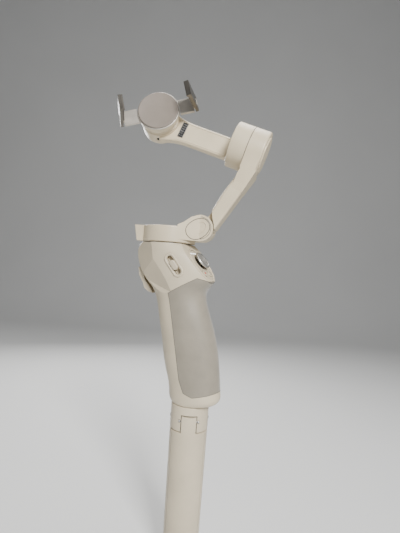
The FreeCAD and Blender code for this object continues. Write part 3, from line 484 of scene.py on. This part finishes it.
# ---------------------------------------------------------------- finishes
class Finish:
    """A material whose pattern is laid in the object's own coordinates."""

    def __init__(self, name, rough, metal=0.0, coat=0.0, sheen=0.0):
        self.material = bpy.data.materials.new(name)
        self.material.use_nodes = True
        self.nodes = self.material.node_tree.nodes
        self.links = self.material.node_tree.links
        self.shader = self.nodes["Principled BSDF"]
        self.shader.inputs["Roughness"].default_value = rough
        self.shader.inputs["Metallic"].default_value = metal
        self.shader.inputs["Coat Weight"].default_value = coat
        self.shader.inputs["Coat Roughness"].default_value = 0.25
        self.shader.inputs["Sheen Weight"].default_value = sheen
        self.coordinates = self.nodes.new("ShaderNodeTexCoord").outputs["Object"]

    def stretched(self, scale, place=None):
        """Object coordinates scaled unevenly, in the frame of a moving group if one is given."""
        source = self.coordinates
        if place is not None:
            back = place.inverted()
            centred = self.nodes.new("ShaderNodeMapping")
            centred.inputs["Location"].default_value = back.to_translation()
            centred.inputs["Rotation"].default_value = back.to_euler()
            self.links.new(source, centred.inputs["Vector"])
            source = centred.outputs[0]
        mapping = self.nodes.new("ShaderNodeMapping")
        mapping.inputs["Scale"].default_value = scale
        self.links.new(source, mapping.inputs["Vector"])
        return mapping.outputs[0]

    def noise(self, scale, detail=3.0, source=None):
        node = self.nodes.new("ShaderNodeTexNoise")
        node.inputs["Scale"].default_value = scale
        node.inputs["Detail"].default_value = detail
        self.links.new(source or self.coordinates, node.inputs["Vector"])
        return node.outputs["Fac"]

    def cells(self, scale, source=None):
        node = self.nodes.new("ShaderNodeTexVoronoi")
        node.inputs["Scale"].default_value = scale
        self.links.new(source or self.coordinates, node.inputs["Vector"])
        return node.outputs["Distance"]

    def waves(self, scale, direction, source, rings=False):
        node = self.nodes.new("ShaderNodeTexWave")
        node.wave_type = "RINGS" if rings else "BANDS"
        if rings:
            node.rings_direction = direction
        else:
            node.bands_direction = direction
        node.inputs["Scale"].default_value = scale
        self.links.new(source, node.inputs["Vector"])
        return node.outputs["Fac"]

    def ramp(self, value, stops):
        node = self.nodes.new("ShaderNodeValToRGB")
        for element, (place, colour) in zip(node.color_ramp.elements, (stops[0], stops[-1])):
            element.position, element.color = place, (*colour, 1)
        for place, colour in stops[1:-1]:
            node.color_ramp.elements.new(place).color = (*colour, 1)
        self.links.new(value, node.inputs["Fac"])
        return node.outputs["Color"]

    def ranged(self, value, low, high):
        node = self.nodes.new("ShaderNodeMapRange")
        node.inputs["From Min"].default_value = 0.3
        node.inputs["From Max"].default_value = 0.7
        node.inputs["To Min"].default_value = low
        node.inputs["To Max"].default_value = high
        self.links.new(value, node.inputs["Value"])
        return node.outputs["Result"]

    def colour(self, value, colour, spread):
        """Colour that drifts a little darker and lighter over the surface."""
        dark = [max(0.0, channel * (1 - spread)) for channel in colour]
        light = [min(1.0, channel * (1 + spread)) for channel in colour]
        self.links.new(self.ramp(value, [(0.32, dark), (0.68, light)]), self.shader.inputs["Base Color"])
        return self

    def roughness(self, value, low, high):
        self.links.new(self.ranged(value, low, high), self.shader.inputs["Roughness"])
        return self

    def bump(self, *layers):
        """Relief from layers of height value and depth in metres."""
        normal = None
        for value, depth in layers:
            node = self.nodes.new("ShaderNodeBump")
            node.inputs["Strength"].default_value = 1.0
            node.inputs["Distance"].default_value = depth
            self.links.new(value, node.inputs["Height"])
            if normal is not None:
                self.links.new(normal, node.inputs["Normal"])
            normal = node.outputs["Normal"]
        self.links.new(normal, self.shader.inputs["Normal"])
        return self


def moulded_shell(name, colour, rough=0.46):
    """Fine spark-eroded plastic with a faint drift in tone and soft handling marks."""
    look = Finish(name, rough, coat=0.06)
    look.colour(look.noise(38, 5), colour, 0.07)
    look.roughness(look.noise(160, 4), rough - 0.07, rough + 0.07)
    return look.bump((look.noise(2600, 2), 0.02 * MM), (look.noise(420, 3), 0.03 * MM)).material


def grip_rubber(colour):
    """Soft-touch rubber with a close pebbled grain, polished a little where it is held."""
    look = Finish("grip_rubber_pebbled", 0.62, sheen=0.25)
    look.colour(look.noise(55, 5), colour, 0.1)
    look.roughness(look.noise(30, 4), 0.5, 0.7)
    return look.bump((look.cells(1500), 0.05 * MM), (look.noise(300, 3), 0.03 * MM)).material


def silicone_pad(name, colour):
    look = Finish(name, 0.55, sheen=0.15)
    look.colour(look.noise(60, 5), colour, 0.08)
    look.roughness(look.noise(210, 3), 0.46, 0.62)
    return look.bump((look.noise(1900, 3), 0.03 * MM)).material


def plated_metal(name, colour, rough, place, along=(900, 60, 900), metal=0.9):
    """Plating over a brushed sheet, brushed along the axis that is scaled least."""
    look = Finish(name, rough, metal=metal)
    brushed = look.noise(1.0, 4, look.stretched(along, place))
    look.colour(look.noise(70, 4), colour, 0.14)
    look.roughness(brushed, rough - 0.1, rough + 0.12)
    return look.bump((brushed, 0.012 * MM), (look.noise(240, 3), 0.015 * MM)).material


def turned_steel(name, place, colour=(0.56, 0.55, 0.53), rough=0.26):
    look = Finish(name, rough, metal=1.0)
    look.colour(look.noise(90, 3), colour, 0.1)
    tool_marks = look.waves(900, "Z", look.stretched((1, 1, 1), place), rings=True)
    look.roughness(look.noise(300, 3), rough - 0.06, rough + 0.1)
    return look.bump((tool_marks, 0.006 * MM), (look.noise(700, 2), 0.01 * MM)).material


def wound_copper(name, place):
    look = Finish(name, 0.34, metal=0.85)
    turns = look.waves(420, "Z", look.stretched((1, 1, 1), place))
    tone = look.ramp(turns, [(0.1, (0.16, 0.06, 0.03)), (0.6, (0.62, 0.27, 0.12)),
                             (0.95, (0.78, 0.42, 0.22))])
    look.links.new(tone, look.shader.inputs["Base Color"])
    look.roughness(look.noise(200, 3), 0.26, 0.42)
    return look.bump((turns, 0.08 * MM)).material


def circuit_board(name):
    look = Finish(name, 0.4, coat=0.3)
    tracks = look.waves(260, "X", look.stretched((1, 1.6, 1)))
    tone = look.ramp(tracks, [(0.3, (0.012, 0.09, 0.035)), (0.55, (0.02, 0.15, 0.06)),
                              (0.9, (0.06, 0.24, 0.1))])
    look.links.new(tone, look.shader.inputs["Base Color"])
    look.roughness(look.noise(260, 2), 0.3, 0.5)
    return look.bump((tracks, 0.03 * MM)).material


def cell_wrap(name):
    look = Finish(name, 0.3, coat=0.4)
    look.colour(look.noise(45, 4), (0.05, 0.17, 0.30), 0.16)
    look.roughness(look.noise(120, 3), 0.24, 0.4)
    return look.bump((look.noise(520, 3), 0.03 * MM)).material


def dark_plastic(name, colour=(0.028, 0.026, 0.024), rough=0.4):
    look = Finish(name, rough)
    look.colour(look.noise(80, 4), colour, 0.25)
    look.roughness(look.noise(260, 3), rough - 0.08, rough + 0.12)
    return look.bump((look.noise(2200, 2), 0.02 * MM)).material


def flat_cable(name):
    look = Finish(name, 0.35)
    lines = look.waves(1300, "Y", look.stretched((1, 1, 1), TILT))
    tone = look.ramp(lines, [(0.2, (0.10, 0.045, 0.012)), (0.8, (0.32, 0.16, 0.05))])
    look.links.new(tone, look.shader.inputs["Base Color"])
    look.roughness(look.noise(200, 2), 0.28, 0.42)
    return look.bump((lines, 0.02 * MM)).material


def painted_glow_lens(name):
    """Cloudy light guide with a slightly uneven glow, a painted highlight that stands in for white glints
    on the lights.
    """
    look = Finish(name, 0.3)
    look.colour(look.noise(400, 2), (0.9, 0.92, 0.9), 0.05)
    glow = look.ranged(look.noise(500, 2), 1.3, 2.0)
    look.links.new(glow, look.shader.inputs["Emission Strength"])
    look.shader.inputs["Emission Color"].default_value = (0.92, 0.97, 1.0, 1)
    return look.bump((look.noise(1500, 2), 0.01 * MM)).material


def plain_floor(colour):
    look = Finish("studio_paper", 0.8)
    look.colour(look.noise(3, 2), colour, 0.015)
    return look.bump((look.noise(60, 3), 0.1 * MM)).material


FINISHES = {}


def paint(material, *nodes):
    for name in nodes:
        slots = frame["nodes"][name].data.materials
        for index in range(len(slots)):
            slots[index] = material


# ---------------------------------------------------------------- operators
class GIMBAL_OT_stage(bpy.types.Operator):
    """Set the camera, the plain pale floor and the soft studio lights"""
    bl_idname = "gimbal.stage"
    bl_label = "Stage and Camera"

    def execute(self, context):
        setup = context.scene.gimbal_stage
        self.add_camera(context.scene, setup)
        self.add_floor(setup)
        for name, place, aim, size, power in LAMPS:
            lamp = bpy.data.lights.new(name, "AREA")
            lamp.shape, lamp.size, lamp.energy = "SQUARE", size, power
            holder = bpy.data.objects.new(name, lamp)
            holder.location = place
            holder.rotation_euler = (Vector(aim) - Vector(place)).to_track_quat("-Z", "Y").to_euler()
            context.scene.collection.objects.link(holder)
        world = bpy.data.worlds.new("studio")
        world.use_nodes = True
        sky = world.node_tree.nodes["Background"]
        sky.inputs["Color"].default_value = (0.80, 0.81, 0.83, 1)
        sky.inputs["Strength"].default_value = 0.22
        context.scene.world = world
        return {"FINISHED"}

    def add_camera(self, scene, setup):
        lens = bpy.data.cameras.new("view")
        lens.lens = LENS
        lens.sensor_width = SENSOR_WIDTH
        camera = bpy.data.objects.new("view", lens)
        toward = Vector((-math.sin(setup.azimuth), math.cos(setup.azimuth), 0))
        level = Vector((math.cos(setup.azimuth), math.sin(setup.azimuth), 0))
        upright = Vector((0, 0, 1))
        right = level * math.cos(setup.lean) + upright * math.sin(setup.lean)
        up = upright * math.cos(setup.lean) - level * math.sin(setup.lean)
        pose = Matrix((right, up, -toward)).transposed().to_4x4()
        pose.translation = upright * setup.height - toward * setup.distance
        camera.matrix_world = pose
        scene.collection.objects.link(camera)
        scene.camera = camera

    def add_floor(self, setup):
        """One sheet that curves up from the floor into the backdrop, square to the camera."""
        half, near, far, bend, rise = 2.4, -1.6, 1.15, 0.55, 2.4
        line = [(near, 0.0), (far, 0.0)]
        for step in range(1, 17):
            angle = math.radians(90 * step / 16)
            line.append((far + bend * math.sin(angle), bend - bend * math.cos(angle)))
        line.append((far + bend, rise))
        square = Matrix.Rotation(setup.azimuth, 4, "Z")
        verts, faces = [], []
        for away, height in line:
            verts += [square @ Vector((side * half, away, height)) for side in (-1, 1)]
        for index in range(len(line) - 1):
            faces.append([2 * index, 2 * index + 1, 2 * index + 3, 2 * index + 2])
        sheet = bpy.data.meshes.new("floor")
        sheet.from_pydata(verts, [], faces)
        sheet.materials.append(plain_floor(setup.floor))
        for polygon in sheet.polygons:
            polygon.use_smooth = True
        backdrop = bpy.data.objects.new("floor", sheet)
        bpy.context.scene.collection.objects.link(backdrop)


class GIMBAL_OT_finishes(bpy.types.Operator):
    """Give every part of the frame its moulded, rubber or metal finish"""
    bl_idname = "gimbal.finishes"
    bl_label = "Finishes"

    def execute(self, context):
        colours = context.scene.gimbal_colours
        FINISHES.update(
            shell=moulded_shell("shell_moulded", colours.shell),
            ring=moulded_shell("ring_painted", colours.ring, 0.4),
            panel=moulded_shell("panel_moulded", [c * 0.9 for c in colours.shell], 0.5),
            grip=grip_rubber(colours.grip),
            pad=silicone_pad("clamp_silicone", colours.pad),
            jaw=silicone_pad("jaw_rubber", [c * 0.45 for c in colours.pad]),
            metal=plated_metal("claw_plated", colours.metal, 0.36, ROLL),
            bar=plated_metal("clamp_arm_satin", [c * 3.4 for c in colours.metal], 0.42, ROLL,
                             (60, 900, 900), 0.55),
            stick=silicone_pad("stick_rubber", (0.17, 0.16, 0.14)),
            steel=turned_steel("steel_turned", HANDLE),
            bright=turned_steel("bright_turned", ARM_MOTOR, (0.78, 0.77, 0.74), 0.18),
            dark=dark_plastic("dark_moulded"),
            label=dark_plastic("plate_black", (0.012, 0.012, 0.013), 0.32),
            # Painted shade for the dark lines and rings laid in gaps, grooves and the vent
            seam=dark_plastic("seam_shadow", colours.seam, 0.6),
            foot=silicone_pad("foot_rubber", (0.04, 0.038, 0.035)),
            board=circuit_board("board_laminate"),
            cell=cell_wrap("cell_shrink_wrap"),
            cable=flat_cable("flat_cable_film"),
            light=painted_glow_lens("light_guide_painted_glow"))
        paint(FINISHES["shell"], "handle_shell_left", "handle_shell_right", "tripod_collar",
              "tripod_leg_1", "tripod_leg_2", "tripod_leg_3")
        paint(FINISHES["ring"], "pan_ring", "pan_ring_cap", "hinge_covers", "folding_arm", "tilt_ring",
              "roll_arm", "roll_ring")
        paint(FINISHES["panel"], "thumb_panel", "panel_rim", "slider_bezel", "zoom_slider_knob",
              "record_button", "mode_button", "trigger", "joystick_base", "joystick_yoke")
        paint(FINISHES["grip"], "grip_sleeve")
        paint(FINISHES["ring"], "magnet_base", "clamp_base")
        paint(FINISHES["bar"], "clamp_cover", "clamp_arm_left", "clamp_arm_right")
        paint(FINISHES["metal"], "claw_left", "claw_right")
        paint(FINISHES["jaw"], "claw_pad_left", "claw_pad_right")
        paint(FINISHES["foot"], "leg_foot_1", "leg_foot_2", "leg_foot_3")
        paint(FINISHES["steel"], "tripod_stud", "leg_pins", "hinge_pin", "trigger_pin", "pan_bearings",
              "tilt_bearings", "roll_bearings", "usb_c_port", "tripod_socket_insert", "pan_rotor",
              "tilt_rotor", "roll_rotor")
        paint(FINISHES["bright"], "fold_stop_pin", "base_magnets")
        paint(FINISHES["board"], "main_board", "control_board")
        paint(FINISHES["cell"], "battery")
        paint(FINISHES["cable"], "motor_ribbon_cable")
        paint(FINISHES["label"], "rating_label")
        # Painted highlight: the status lights glow to stand in for white glints on them
        paint(FINISHES["light"], "status_lights")
        for name, place in (("pan_stator", PAN), ("tilt_stator", ARM_MOTOR @ turn("Y", 90)),
                            ("roll_stator", ROLL_HOUSING)):
            paint(wound_copper(name + "_winding", place), name)
        return {"FINISHED"}


class GIMBAL_OT_thumb_controls(bpy.types.Operator):
    """Thumb stick with its light ring and ridged dish, the panel's lip and the button marks"""
    bl_idname = "gimbal.thumb_controls"
    bl_label = "Thumb Controls"

    def execute(self, context):
        details = context.scene.gimbal_details
        stick = PANEL @ shift(STICK_X, 0, 0)
        self.add_stick(stick, details.stick_ticks)
        rim_path = ellipse_path(PANEL_HALF_LENGTH - RIM_WIDTH / 2, PANEL_HALF_WIDTH - RIM_WIDTH / 2)
        lip = finished("panel_lip", swept(rim_path, round_lip(RIM_WIDTH / 2, -1.8, 0.95), PANEL),
                       FINISHES["shell"], "handle")
        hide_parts("panel_rim")
        inset = RIM_WIDTH + LIP_GAP
        well = ellipse_path(PANEL_HALF_LENGTH - inset, PANEL_HALF_WIDTH - inset)
        # Painted shade: a dark line inside the lip stands in for the shade in the gap round the panel
        finished("panel_groove_shade", swept(well, round_lip(0.16, -0.2, 0.1), PANEL), FINISHES["seam"], "handle")
        collar = turned([(5.45, -0.2), (6.1, -0.2), (6.1, 0.25), (5.8, 0.4), (5.45, 0.3)], stick, 64)
        finished("stick_collar", collar, FINISHES["dark"], "handle")
        red = dark_plastic("record_red", (0.45, 0.03, 0.02), 0.35)
        dome = [(0, 0.95), (1.0, 0.95), (1.05, 1.1), (0.8, 1.2), (0, 1.24)]
        record, mode = (PANEL @ shift(BUTTON_X, side * BUTTON_Y, 0) for side in (-1, 1))
        finished("record_mark", turned(dome, record, 40), red, "record_button")
        loop = swept(ellipse_path(1.5, 0.95, 48), round_lip(0.14, 0.95, 1.14), mode)
        finished("mode_mark", loop, FINISHES["dark"], "mode_button")
        return {"FINISHED"}

    def add_stick(self, stick, tick_count):
        """Bright ring, ridged dish with its stem, cross pin and knurls."""
        edge = STICK_R - STICK_RING_WIDTH
        rim = [(edge, 2.9), (STICK_R - 0.5, 2.7), (STICK_R - 0.1, 2.95), (STICK_R, 3.5),
               (STICK_R - 0.25, 4.1), (STICK_R - 0.8, 4.45), (STICK_R - 1.3, 4.4), (edge, 3.9)]
        satin = turned_steel("stick_ring_satin", PANEL, (0.80, 0.78, 0.72), 0.36)
        finished("stick_ring", turned(rim, stick), satin, "joystick")
        profile = [(0, STEM_FOOT), (STEM_R, STEM_FOOT), (STEM_R, 2.7), (edge, 2.75)]
        for step in range(DISH_STEPS + 1):
            radius = edge * (1 - step / DISH_STEPS)
            bowl = DISH_FLOOR + DISH_RISE * (radius / edge) ** 2
            ridge = RIDGE_HEIGHT if step % 2 else -RIDGE_HEIGHT
            profile.append((radius, bowl + ridge * min(1.0, radius)))
        finished("stick_dish", turned(profile, stick, 72), FINISHES["stick"], "joystick",
                 20)
        cross = turned([(0, -2.9), (0.7, -2.9), (0.7, 2.9), (0, 2.9)],
                       stick @ shift(0, 0, STICK_PIVOT) @ turn("Y", 90), 20)
        pin = finished("stick_cross_pin", cross, FINISHES["steel"], "joystick")
        stud_ring("stick_ticks", FINISHES["dark"], "joystick", stick @ shift(0, 0, 3.55), tick_count,
                  STICK_R - 0.05, (0.3, 0.42, 0.8), 6)
        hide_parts("joystick_cap")


class GIMBAL_OT_zoom_slider(bpy.types.Operator):
    """Zoom slider with a raised soft lip and a ribbed knob"""
    bl_idname = "gimbal.zoom_slider"
    bl_label = "Zoom Slider"

    def execute(self, context):
        details = context.scene.gimbal_details
        lip_path = stadium_path(SLOT_LENGTH - BEZEL_LIP, SLOT_WIDTH - BEZEL_LIP)
        outer = finished("slider_lip", swept(lip_path, round_lip(BEZEL_LIP / 2, SLOT_DEPTH, 0.62), SLIDER),
                         FINISHES["shell"], "handle")
        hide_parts("slider_bezel")
        opening = (SLOT_LENGTH - 2 * BEZEL_LIP, SLOT_WIDTH - 2 * BEZEL_LIP)
        inner_path = stadium_path(opening[0] - LIP_GAP, opening[1] - LIP_GAP)
        finished("slider_inner_lip", swept(inner_path, round_lip(0.22, SLOT_DEPTH, 0.15), SLIDER),
                 FINISHES["panel"], "handle")
        floor_path = stadium_path(*opening)
        floor = placed_mesh([(x, y, z) for z in SLOT_FLOOR for x, y in floor_path],
                            stack_faces(len(floor_path), len(SLOT_FLOOR)), SLIDER)
        finished("slider_floor", floor, FINISHES["panel"], "handle")
        knob = finished("slider_knob", self.knob_mesh(), FINISHES["panel"], "zoom_slider")
        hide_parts("zoom_slider_knob")
        rib_rows("slider_ribs", FINISHES["shell"], "zoom_slider", SLIDER @ shift(0, 0, 1.45),
                 details.knob_ribs, 1, (1.25, 1), (0.5, KNOB_WIDTH - 2.2, 0.5))
        return {"FINISHED"}

    def knob_mesh(self):
        """Rounded knob with a shallow thumb dip across the middle."""
        half = KNOB_WIDTH / 2
        verts, levels = [], ((-3.4, 0.0), (0.7, 0.0), (1.25, 0.18), (1.6, 0.6), (1.7, 1.1))
        for height, inset in levels:
            dip = 0.45 if height > 1.2 else 0.0
            ring = stadium_path(KNOB_LENGTH - 2 * inset, KNOB_WIDTH - 2 * inset)
            verts += [(x, y, height - dip * max(0.0, 1 - (x / half) ** 2)) for x, y in ring]
        return placed_mesh(verts, stack_faces(len(ring), len(levels)), SLIDER)


class GIMBAL_OT_grip_and_seams(bpy.types.Operator):
    """Painted shade lines in the parting line of the handle's halves, along the grip's border and in the
    tripod's notches
    """
    bl_idname = "gimbal.grip_and_seams"
    bl_label = "Grip and Seams"

    def execute(self, context):
        radius = context.scene.gimbal_details.seam_radius
        # Painted shade: the seam colour is a dark line that stands in for the shade in each gap and notch
        dark = FINISHES["seam"]
        seam("grip_border_shade", "grip_sleeve", dark, "handle", lambda p: True, radius)
        seam("tripod_notch_shade", "tripod_collar", dark, "handle",
             lambda p: p.z < COLLAR_LOW_TOP * MM and math.hypot(p.x, p.y) > COLLAR_INNER_R * MM,
             radius * 1.3)
        seam("handle_parting_shade", "handle_shell_left", dark, "handle",
             lambda p: abs(p.y) < 0.02 * MM and p.x < -5 * MM, radius * 0.8)
        return {"FINISHED"}


class GIMBAL_OT_arm_trim(bpy.types.Operator):
    """Ovals on the hinge with painted shade in their seam and groove, the roll arm's raised edges and the
    tilt motor's seam ring of painted shade
    """
    bl_idname = "gimbal.arm_trim"
    bl_label = "Arm Trim"

    def execute(self, context):
        for name, side in (("near", -1), ("far", 1)):
            face = (PAN @ shift(HINGE_X, side * ARM_DEPTH / 2, HINGE_Z) @ turn("X", side * -90)
                    @ turn("Z", side * -HINGE_BADGE_TURN))
            loop = swept(ellipse_path(*HINGE_BADGE, 80, 0.8), round_lip(0.5, -0.3, 0.45), face)
            finished("hinge_badge_" + name, loop, FINISHES["ring"], "pan_ring")
            # Painted shade: a dark ring round the hinge cover and a dark oval groove line stand in for the
            # shade in those gaps
            ring = turned(washer(HINGE_COVER_R - 0.16, HINGE_COVER_R + 0.22, -0.5, 0.03), face)
            finished("hinge_seam_shade_" + name, ring, FINISHES["seam"], "pan_ring")
            oval = self.laid_on_knuckle(face @ shift(HINGE_GROOVE_SHIFT, 0, 0), side)
            line = seam_line_tree().run(oval, {"Radius": 0.3 * MM, "Material": FINISHES["seam"]})
            finished("hinge_groove_shade_" + name, line, FINISHES["seam"], "pan_ring")
        self.add_beads()
        # Painted shade: a dark ring in the tilt motor's gap stands in for the shade there
        gap = turned(washer(TILT_R - 1.6, TILT_R - 0.35, -0.25, 0.25), ARM_MOTOR @ turn("Y", 90))
        finished("tilt_seam_shade", gap, FINISHES["seam"], "folding_arm")
        inner, outer = TILT_R - 0.4, TILT_R + 0.1
        line = turned([(inner, TILT_LINE_DEPTH - 0.2), (outer, TILT_LINE_DEPTH - 0.15),
                       (outer, TILT_LINE_DEPTH + 0.15), (inner, TILT_LINE_DEPTH + 0.2)],
                      TILT @ turn("Y", 90))
        finished("tilt_ring_line", line, FINISHES["ring"], "roll_arm")
        return {"FINISHED"}

    def laid_on_knuckle(self, place, side):
        """An oval of edges dropped onto the knuckle's side."""
        outward = (PAN.to_3x3() @ Vector((0, side, 0))).normalized()
        surfaces = []
        for node in ("pan_ring", "hinge_covers"):
            source = frame["nodes"][node].data
            surfaces.append(BVHTree.FromPolygons([vert.co for vert in source.vertices],
                                                 [list(face.vertices) for face in source.polygons]))
        verts = []
        for x, y in ellipse_path(*HINGE_GROOVE, 96, 0.9):
            start = place @ (Vector((x, y, 0)) * MM) + outward * 50 * MM
            hits = [tree.ray_cast(start, -outward, 80 * MM) for tree in surfaces]
            reached = [(hit[3], hit[0]) for hit in hits if hit[0] is not None]
            if not reached:
                raise RuntimeError("the hinge groove runs off the knuckle")
            verts.append(min(reached, key=lambda pair: pair[0])[1])
        mesh = bpy.data.meshes.new("oval")
        mesh.from_pydata(verts, [(index, (index + 1) % len(verts)) for index in range(len(verts))], [])
        return mesh

    def add_beads(self):
        """Two beads along the roll arm's face that follow its flare into the roll housing."""
        start, steps = -TILT_RING_LENGTH - 0.3, 14
        for name, side in (("upper", 1), ("lower", -1)):
            line = []
            for step in range(steps + 1):
                x = start + (BEAD_END - start) * step / steps
                along = max(0.0, (ARM_STRAIGHT_END - x) / (ARM_STRAIGHT_END - ARM_FLARE_END))
                line.append((x, side * (ARM_HALF_WIDTH - BEAD_INSET + ARM_FLARE * along ** 1.7)))
            bead = swept(line, round_lip(0.55, -0.3, 0.42), ARM_FACE, closed=False)
            finished("roll_arm_bead_" + name, bead, FINISHES["ring"], "roll_arm")


class GIMBAL_OT_roll_details(bpy.types.Operator):
    """Printed plate, painted shade inside the vent and grooved ring at the roll motor"""
    bl_idname = "gimbal.roll_details"
    bl_label = "Roll Motor Details"

    def execute(self, context):
        details = context.scene.gimbal_details
        plate = TILT @ shift(LABEL_X, ARM_FRONT - 0.25, 0) @ turn("X", 90)
        ink = moulded_shell("plate_print", (0.36, 0.36, 0.35), 0.5)
        half_width, half_length = LABEL_WIDTH / 2 - LABEL_INSET, LABEL_LENGTH / 2 - LABEL_INSET
        border = [(-half_width, -half_length), (half_width, -half_length), (half_width, half_length),
                  (-half_width, half_length)]
        frame_line = swept(border, [(-0.08, -0.02), (-0.08, 0.03), (0.08, 0.03), (0.08, -0.02)], plate)
        finished("plate_border", frame_line, ink, "roll_arm")
        rib_rows("plate_bars", ink, "roll_arm", plate, 3, 6, (1.25, 2.2), (0.26, 1.5, 0.06),
                 shortest=0.35, seed=details.label_seed)
        # Painted shade: a dark sleeve inside the vent stands in for the shade in its hole
        vent = TILT @ shift(-ROLL_REACH, VENT_DEPTH, ROLL_OFFSET) @ turn("Y", 180 - VENT_ANGLE)
        liner = turned([(0, 15.6), (1.9, 15.6), (1.9, 17.15), (1.45, 17.15), (1.45, 15.9), (0, 15.9)],
                       vent, 40)
        finished("vent_painted_shade", liner, FINISHES["seam"], "roll_arm")
        grooved = [(0, -2.2), (2.0, -2.2), (2.0, -3.7), (ROLL_R - 0.3, -3.7), (ROLL_R, -3.45)]
        floor = ROLL_R - 0.35
        for start in (-3.0, -2.1, -1.2):
            grooved += [(ROLL_R, start), (floor, start + 0.12), (floor, start + 0.28),
                        (ROLL_R, start + 0.4)]
        grooved += [(ROLL_R, -0.6), (ROLL_R - 0.15, -0.5), (0, -0.5)]
        ring = finished("roll_ring_grooved", turned(grooved, ROLL, 128), FINISHES["ring"], "roll_rotor")
        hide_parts("roll_ring")
        return {"FINISHED"}


class GIMBAL_OT_phone_clamp(bpy.types.Operator):
    """Silicone clamp face with painted shadow in the gap behind its edge, and the ribbed jaw pads"""
    bl_idname = "gimbal.phone_clamp"
    bl_label = "Phone Clamp"

    def execute(self, context):
        details = context.scene.gimbal_details
        dish = PAD_FRONT - 0.08
        face = [(0, PAD_BACK), (PAD_R - 0.15, PAD_BACK), (PAD_R, PAD_BACK + 0.15),
                (PAD_R, PAD_FRONT - 0.35), (PAD_R - 0.12, PAD_FRONT - 0.12), (PAD_R - 0.4, PAD_FRONT),
                (PAD_R - 0.85, PAD_FRONT), (PAD_R - 1.05, dish), (0, dish)]
        pad = finished("clamp_face", turned(face, ROLL, 160), FINISHES["pad"], "clamp")
        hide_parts("clamp_pad")
        # Painted shadow: a dark ring behind the face's edge stands in for the shadow in the gap
        shadow = turned(washer(PAD_R + 0.02, PAD_R + 0.34, PAD_BACK - 0.02, PAD_BACK + 0.12), ROLL, 128)
        finished("clamp_face_gap_shadow", shadow, FINISHES["seam"], "clamp")
        pivot_x, pivot_z = CLAW_PIVOT
        for name, side in (("right", 0), ("left", 180)):
            claw = ROLL @ turn("Z", side) @ shift(pivot_x, 0, pivot_z) @ turn("Y", -CLAW_LEAN)
            middle = (CLAW_PAD_FOOT + CLAW_HEIGHT - CLAW_PAD_TOP_GAP) / 2
            inner = claw @ shift(-CLAW_THICK / 2 - CLAW_PAD_THICK, 0, middle) @ turn("Y", -90)
            rib_rows("claw_ribs_" + name, FINISHES["jaw"], "claw_" + name, inner, details.pad_ribs, 1,
                     (1.75, 1), (0.8, 11.4, 0.5))
        return {"FINISHED"}


class GIMBAL_OT_tripod_details(bpy.types.Operator):
    """Leg pin heads and the charging port's tongue and contacts"""
    bl_idname = "gimbal.tripod_details"
    bl_label = "Tripod and Port"

    def execute(self, context):
        rivet = [(0, -0.5), (1.1, -0.5), (1.1, 0.2), (0.9, 0.38), (0.6, 0.38), (0.6, 0.05), (0, 0.05)]
        for index in range(LEG_COUNT):
            leg = turn("Z", LEG_FIRST_ANGLE + 360 / LEG_COUNT * index)
            for end, side in (("a", 1), ("b", -1)):
                socket = leg @ shift(LEG_PIVOT_R, side * PIN_HEAD_Y, LEG_PIVOT_Z) @ turn("X", -90 * side)
                finished("leg_pin_head_%d%s" % (index + 1, end), turned(rivet, socket, 24),
                         FINISHES["steel"], "handle")
        port = turn("Z", PORT_TURN) @ shift(PORT_DEPTH, 0, PORT_Z)
        outline = [(-2.6, -0.3), (2.6, -0.3), (2.7, 0), (2.6, 0.3), (-2.6, 0.3), (-2.7, 0)]
        tongue = placed_mesh([(x, y, z) for x in (-2.6, 2.4) for y, z in outline],
                             stack_faces(len(outline), 2), port)
        finished("port_tongue", tongue, FINISHES["dark"], "handle")
        rib_rows("port_contacts", FINISHES["bright"], "handle",
                 port @ shift(0.6, 0, 0.3) @ turn("Z", 90), 6, 1, (0.8, 1), (0.35, 2.6, 0.1))
        return {"FINISHED"}


OPERATORS = (
    GIMBAL_OT_stage, GIMBAL_OT_finishes, GIMBAL_OT_thumb_controls, GIMBAL_OT_zoom_slider,
    GIMBAL_OT_grip_and_seams, GIMBAL_OT_arm_trim, GIMBAL_OT_roll_details, GIMBAL_OT_phone_clamp,
    GIMBAL_OT_tripod_details)


class GIMBAL_PT_sidebar(bpy.types.Panel):
    """Settings and steps of the gimbal's finish"""
    bl_idname = "GIMBAL_PT_sidebar"
    bl_label = "Gimbal"
    bl_space_type = "VIEW_3D"
    bl_region_type = "UI"
    bl_category = "Gimbal"

    def draw(self, context):
        scene = context.scene
        for settings in (scene.gimbal_colours, scene.gimbal_details, scene.gimbal_stage):
            box = self.layout.box()
            for name in settings.__annotations__:
                box.prop(settings, name)
        for operator in OPERATORS:
            self.layout.operator(operator.bl_idname)


CLASSES = (GimbalColours, GimbalDetails, GimbalStage) + OPERATORS + (GIMBAL_PT_sidebar,)


def register():
    for each in CLASSES:
        bpy.utils.register_class(each)
    bpy.types.Scene.gimbal_colours = PointerProperty(type=GimbalColours)
    bpy.types.Scene.gimbal_details = PointerProperty(type=GimbalDetails)
    bpy.types.Scene.gimbal_stage = PointerProperty(type=GimbalStage)


def unregister():
    del bpy.types.Scene.gimbal_stage
    del bpy.types.Scene.gimbal_details
    del bpy.types.Scene.gimbal_colours
    for each in reversed(CLASSES):
        bpy.utils.unregister_class(each)


def main():
    register()
    for operator in OPERATORS:
        group, name = operator.bl_idname.split(".")
        getattr(getattr(bpy.ops, group), name)()


if __name__ == "__main__":
    main()
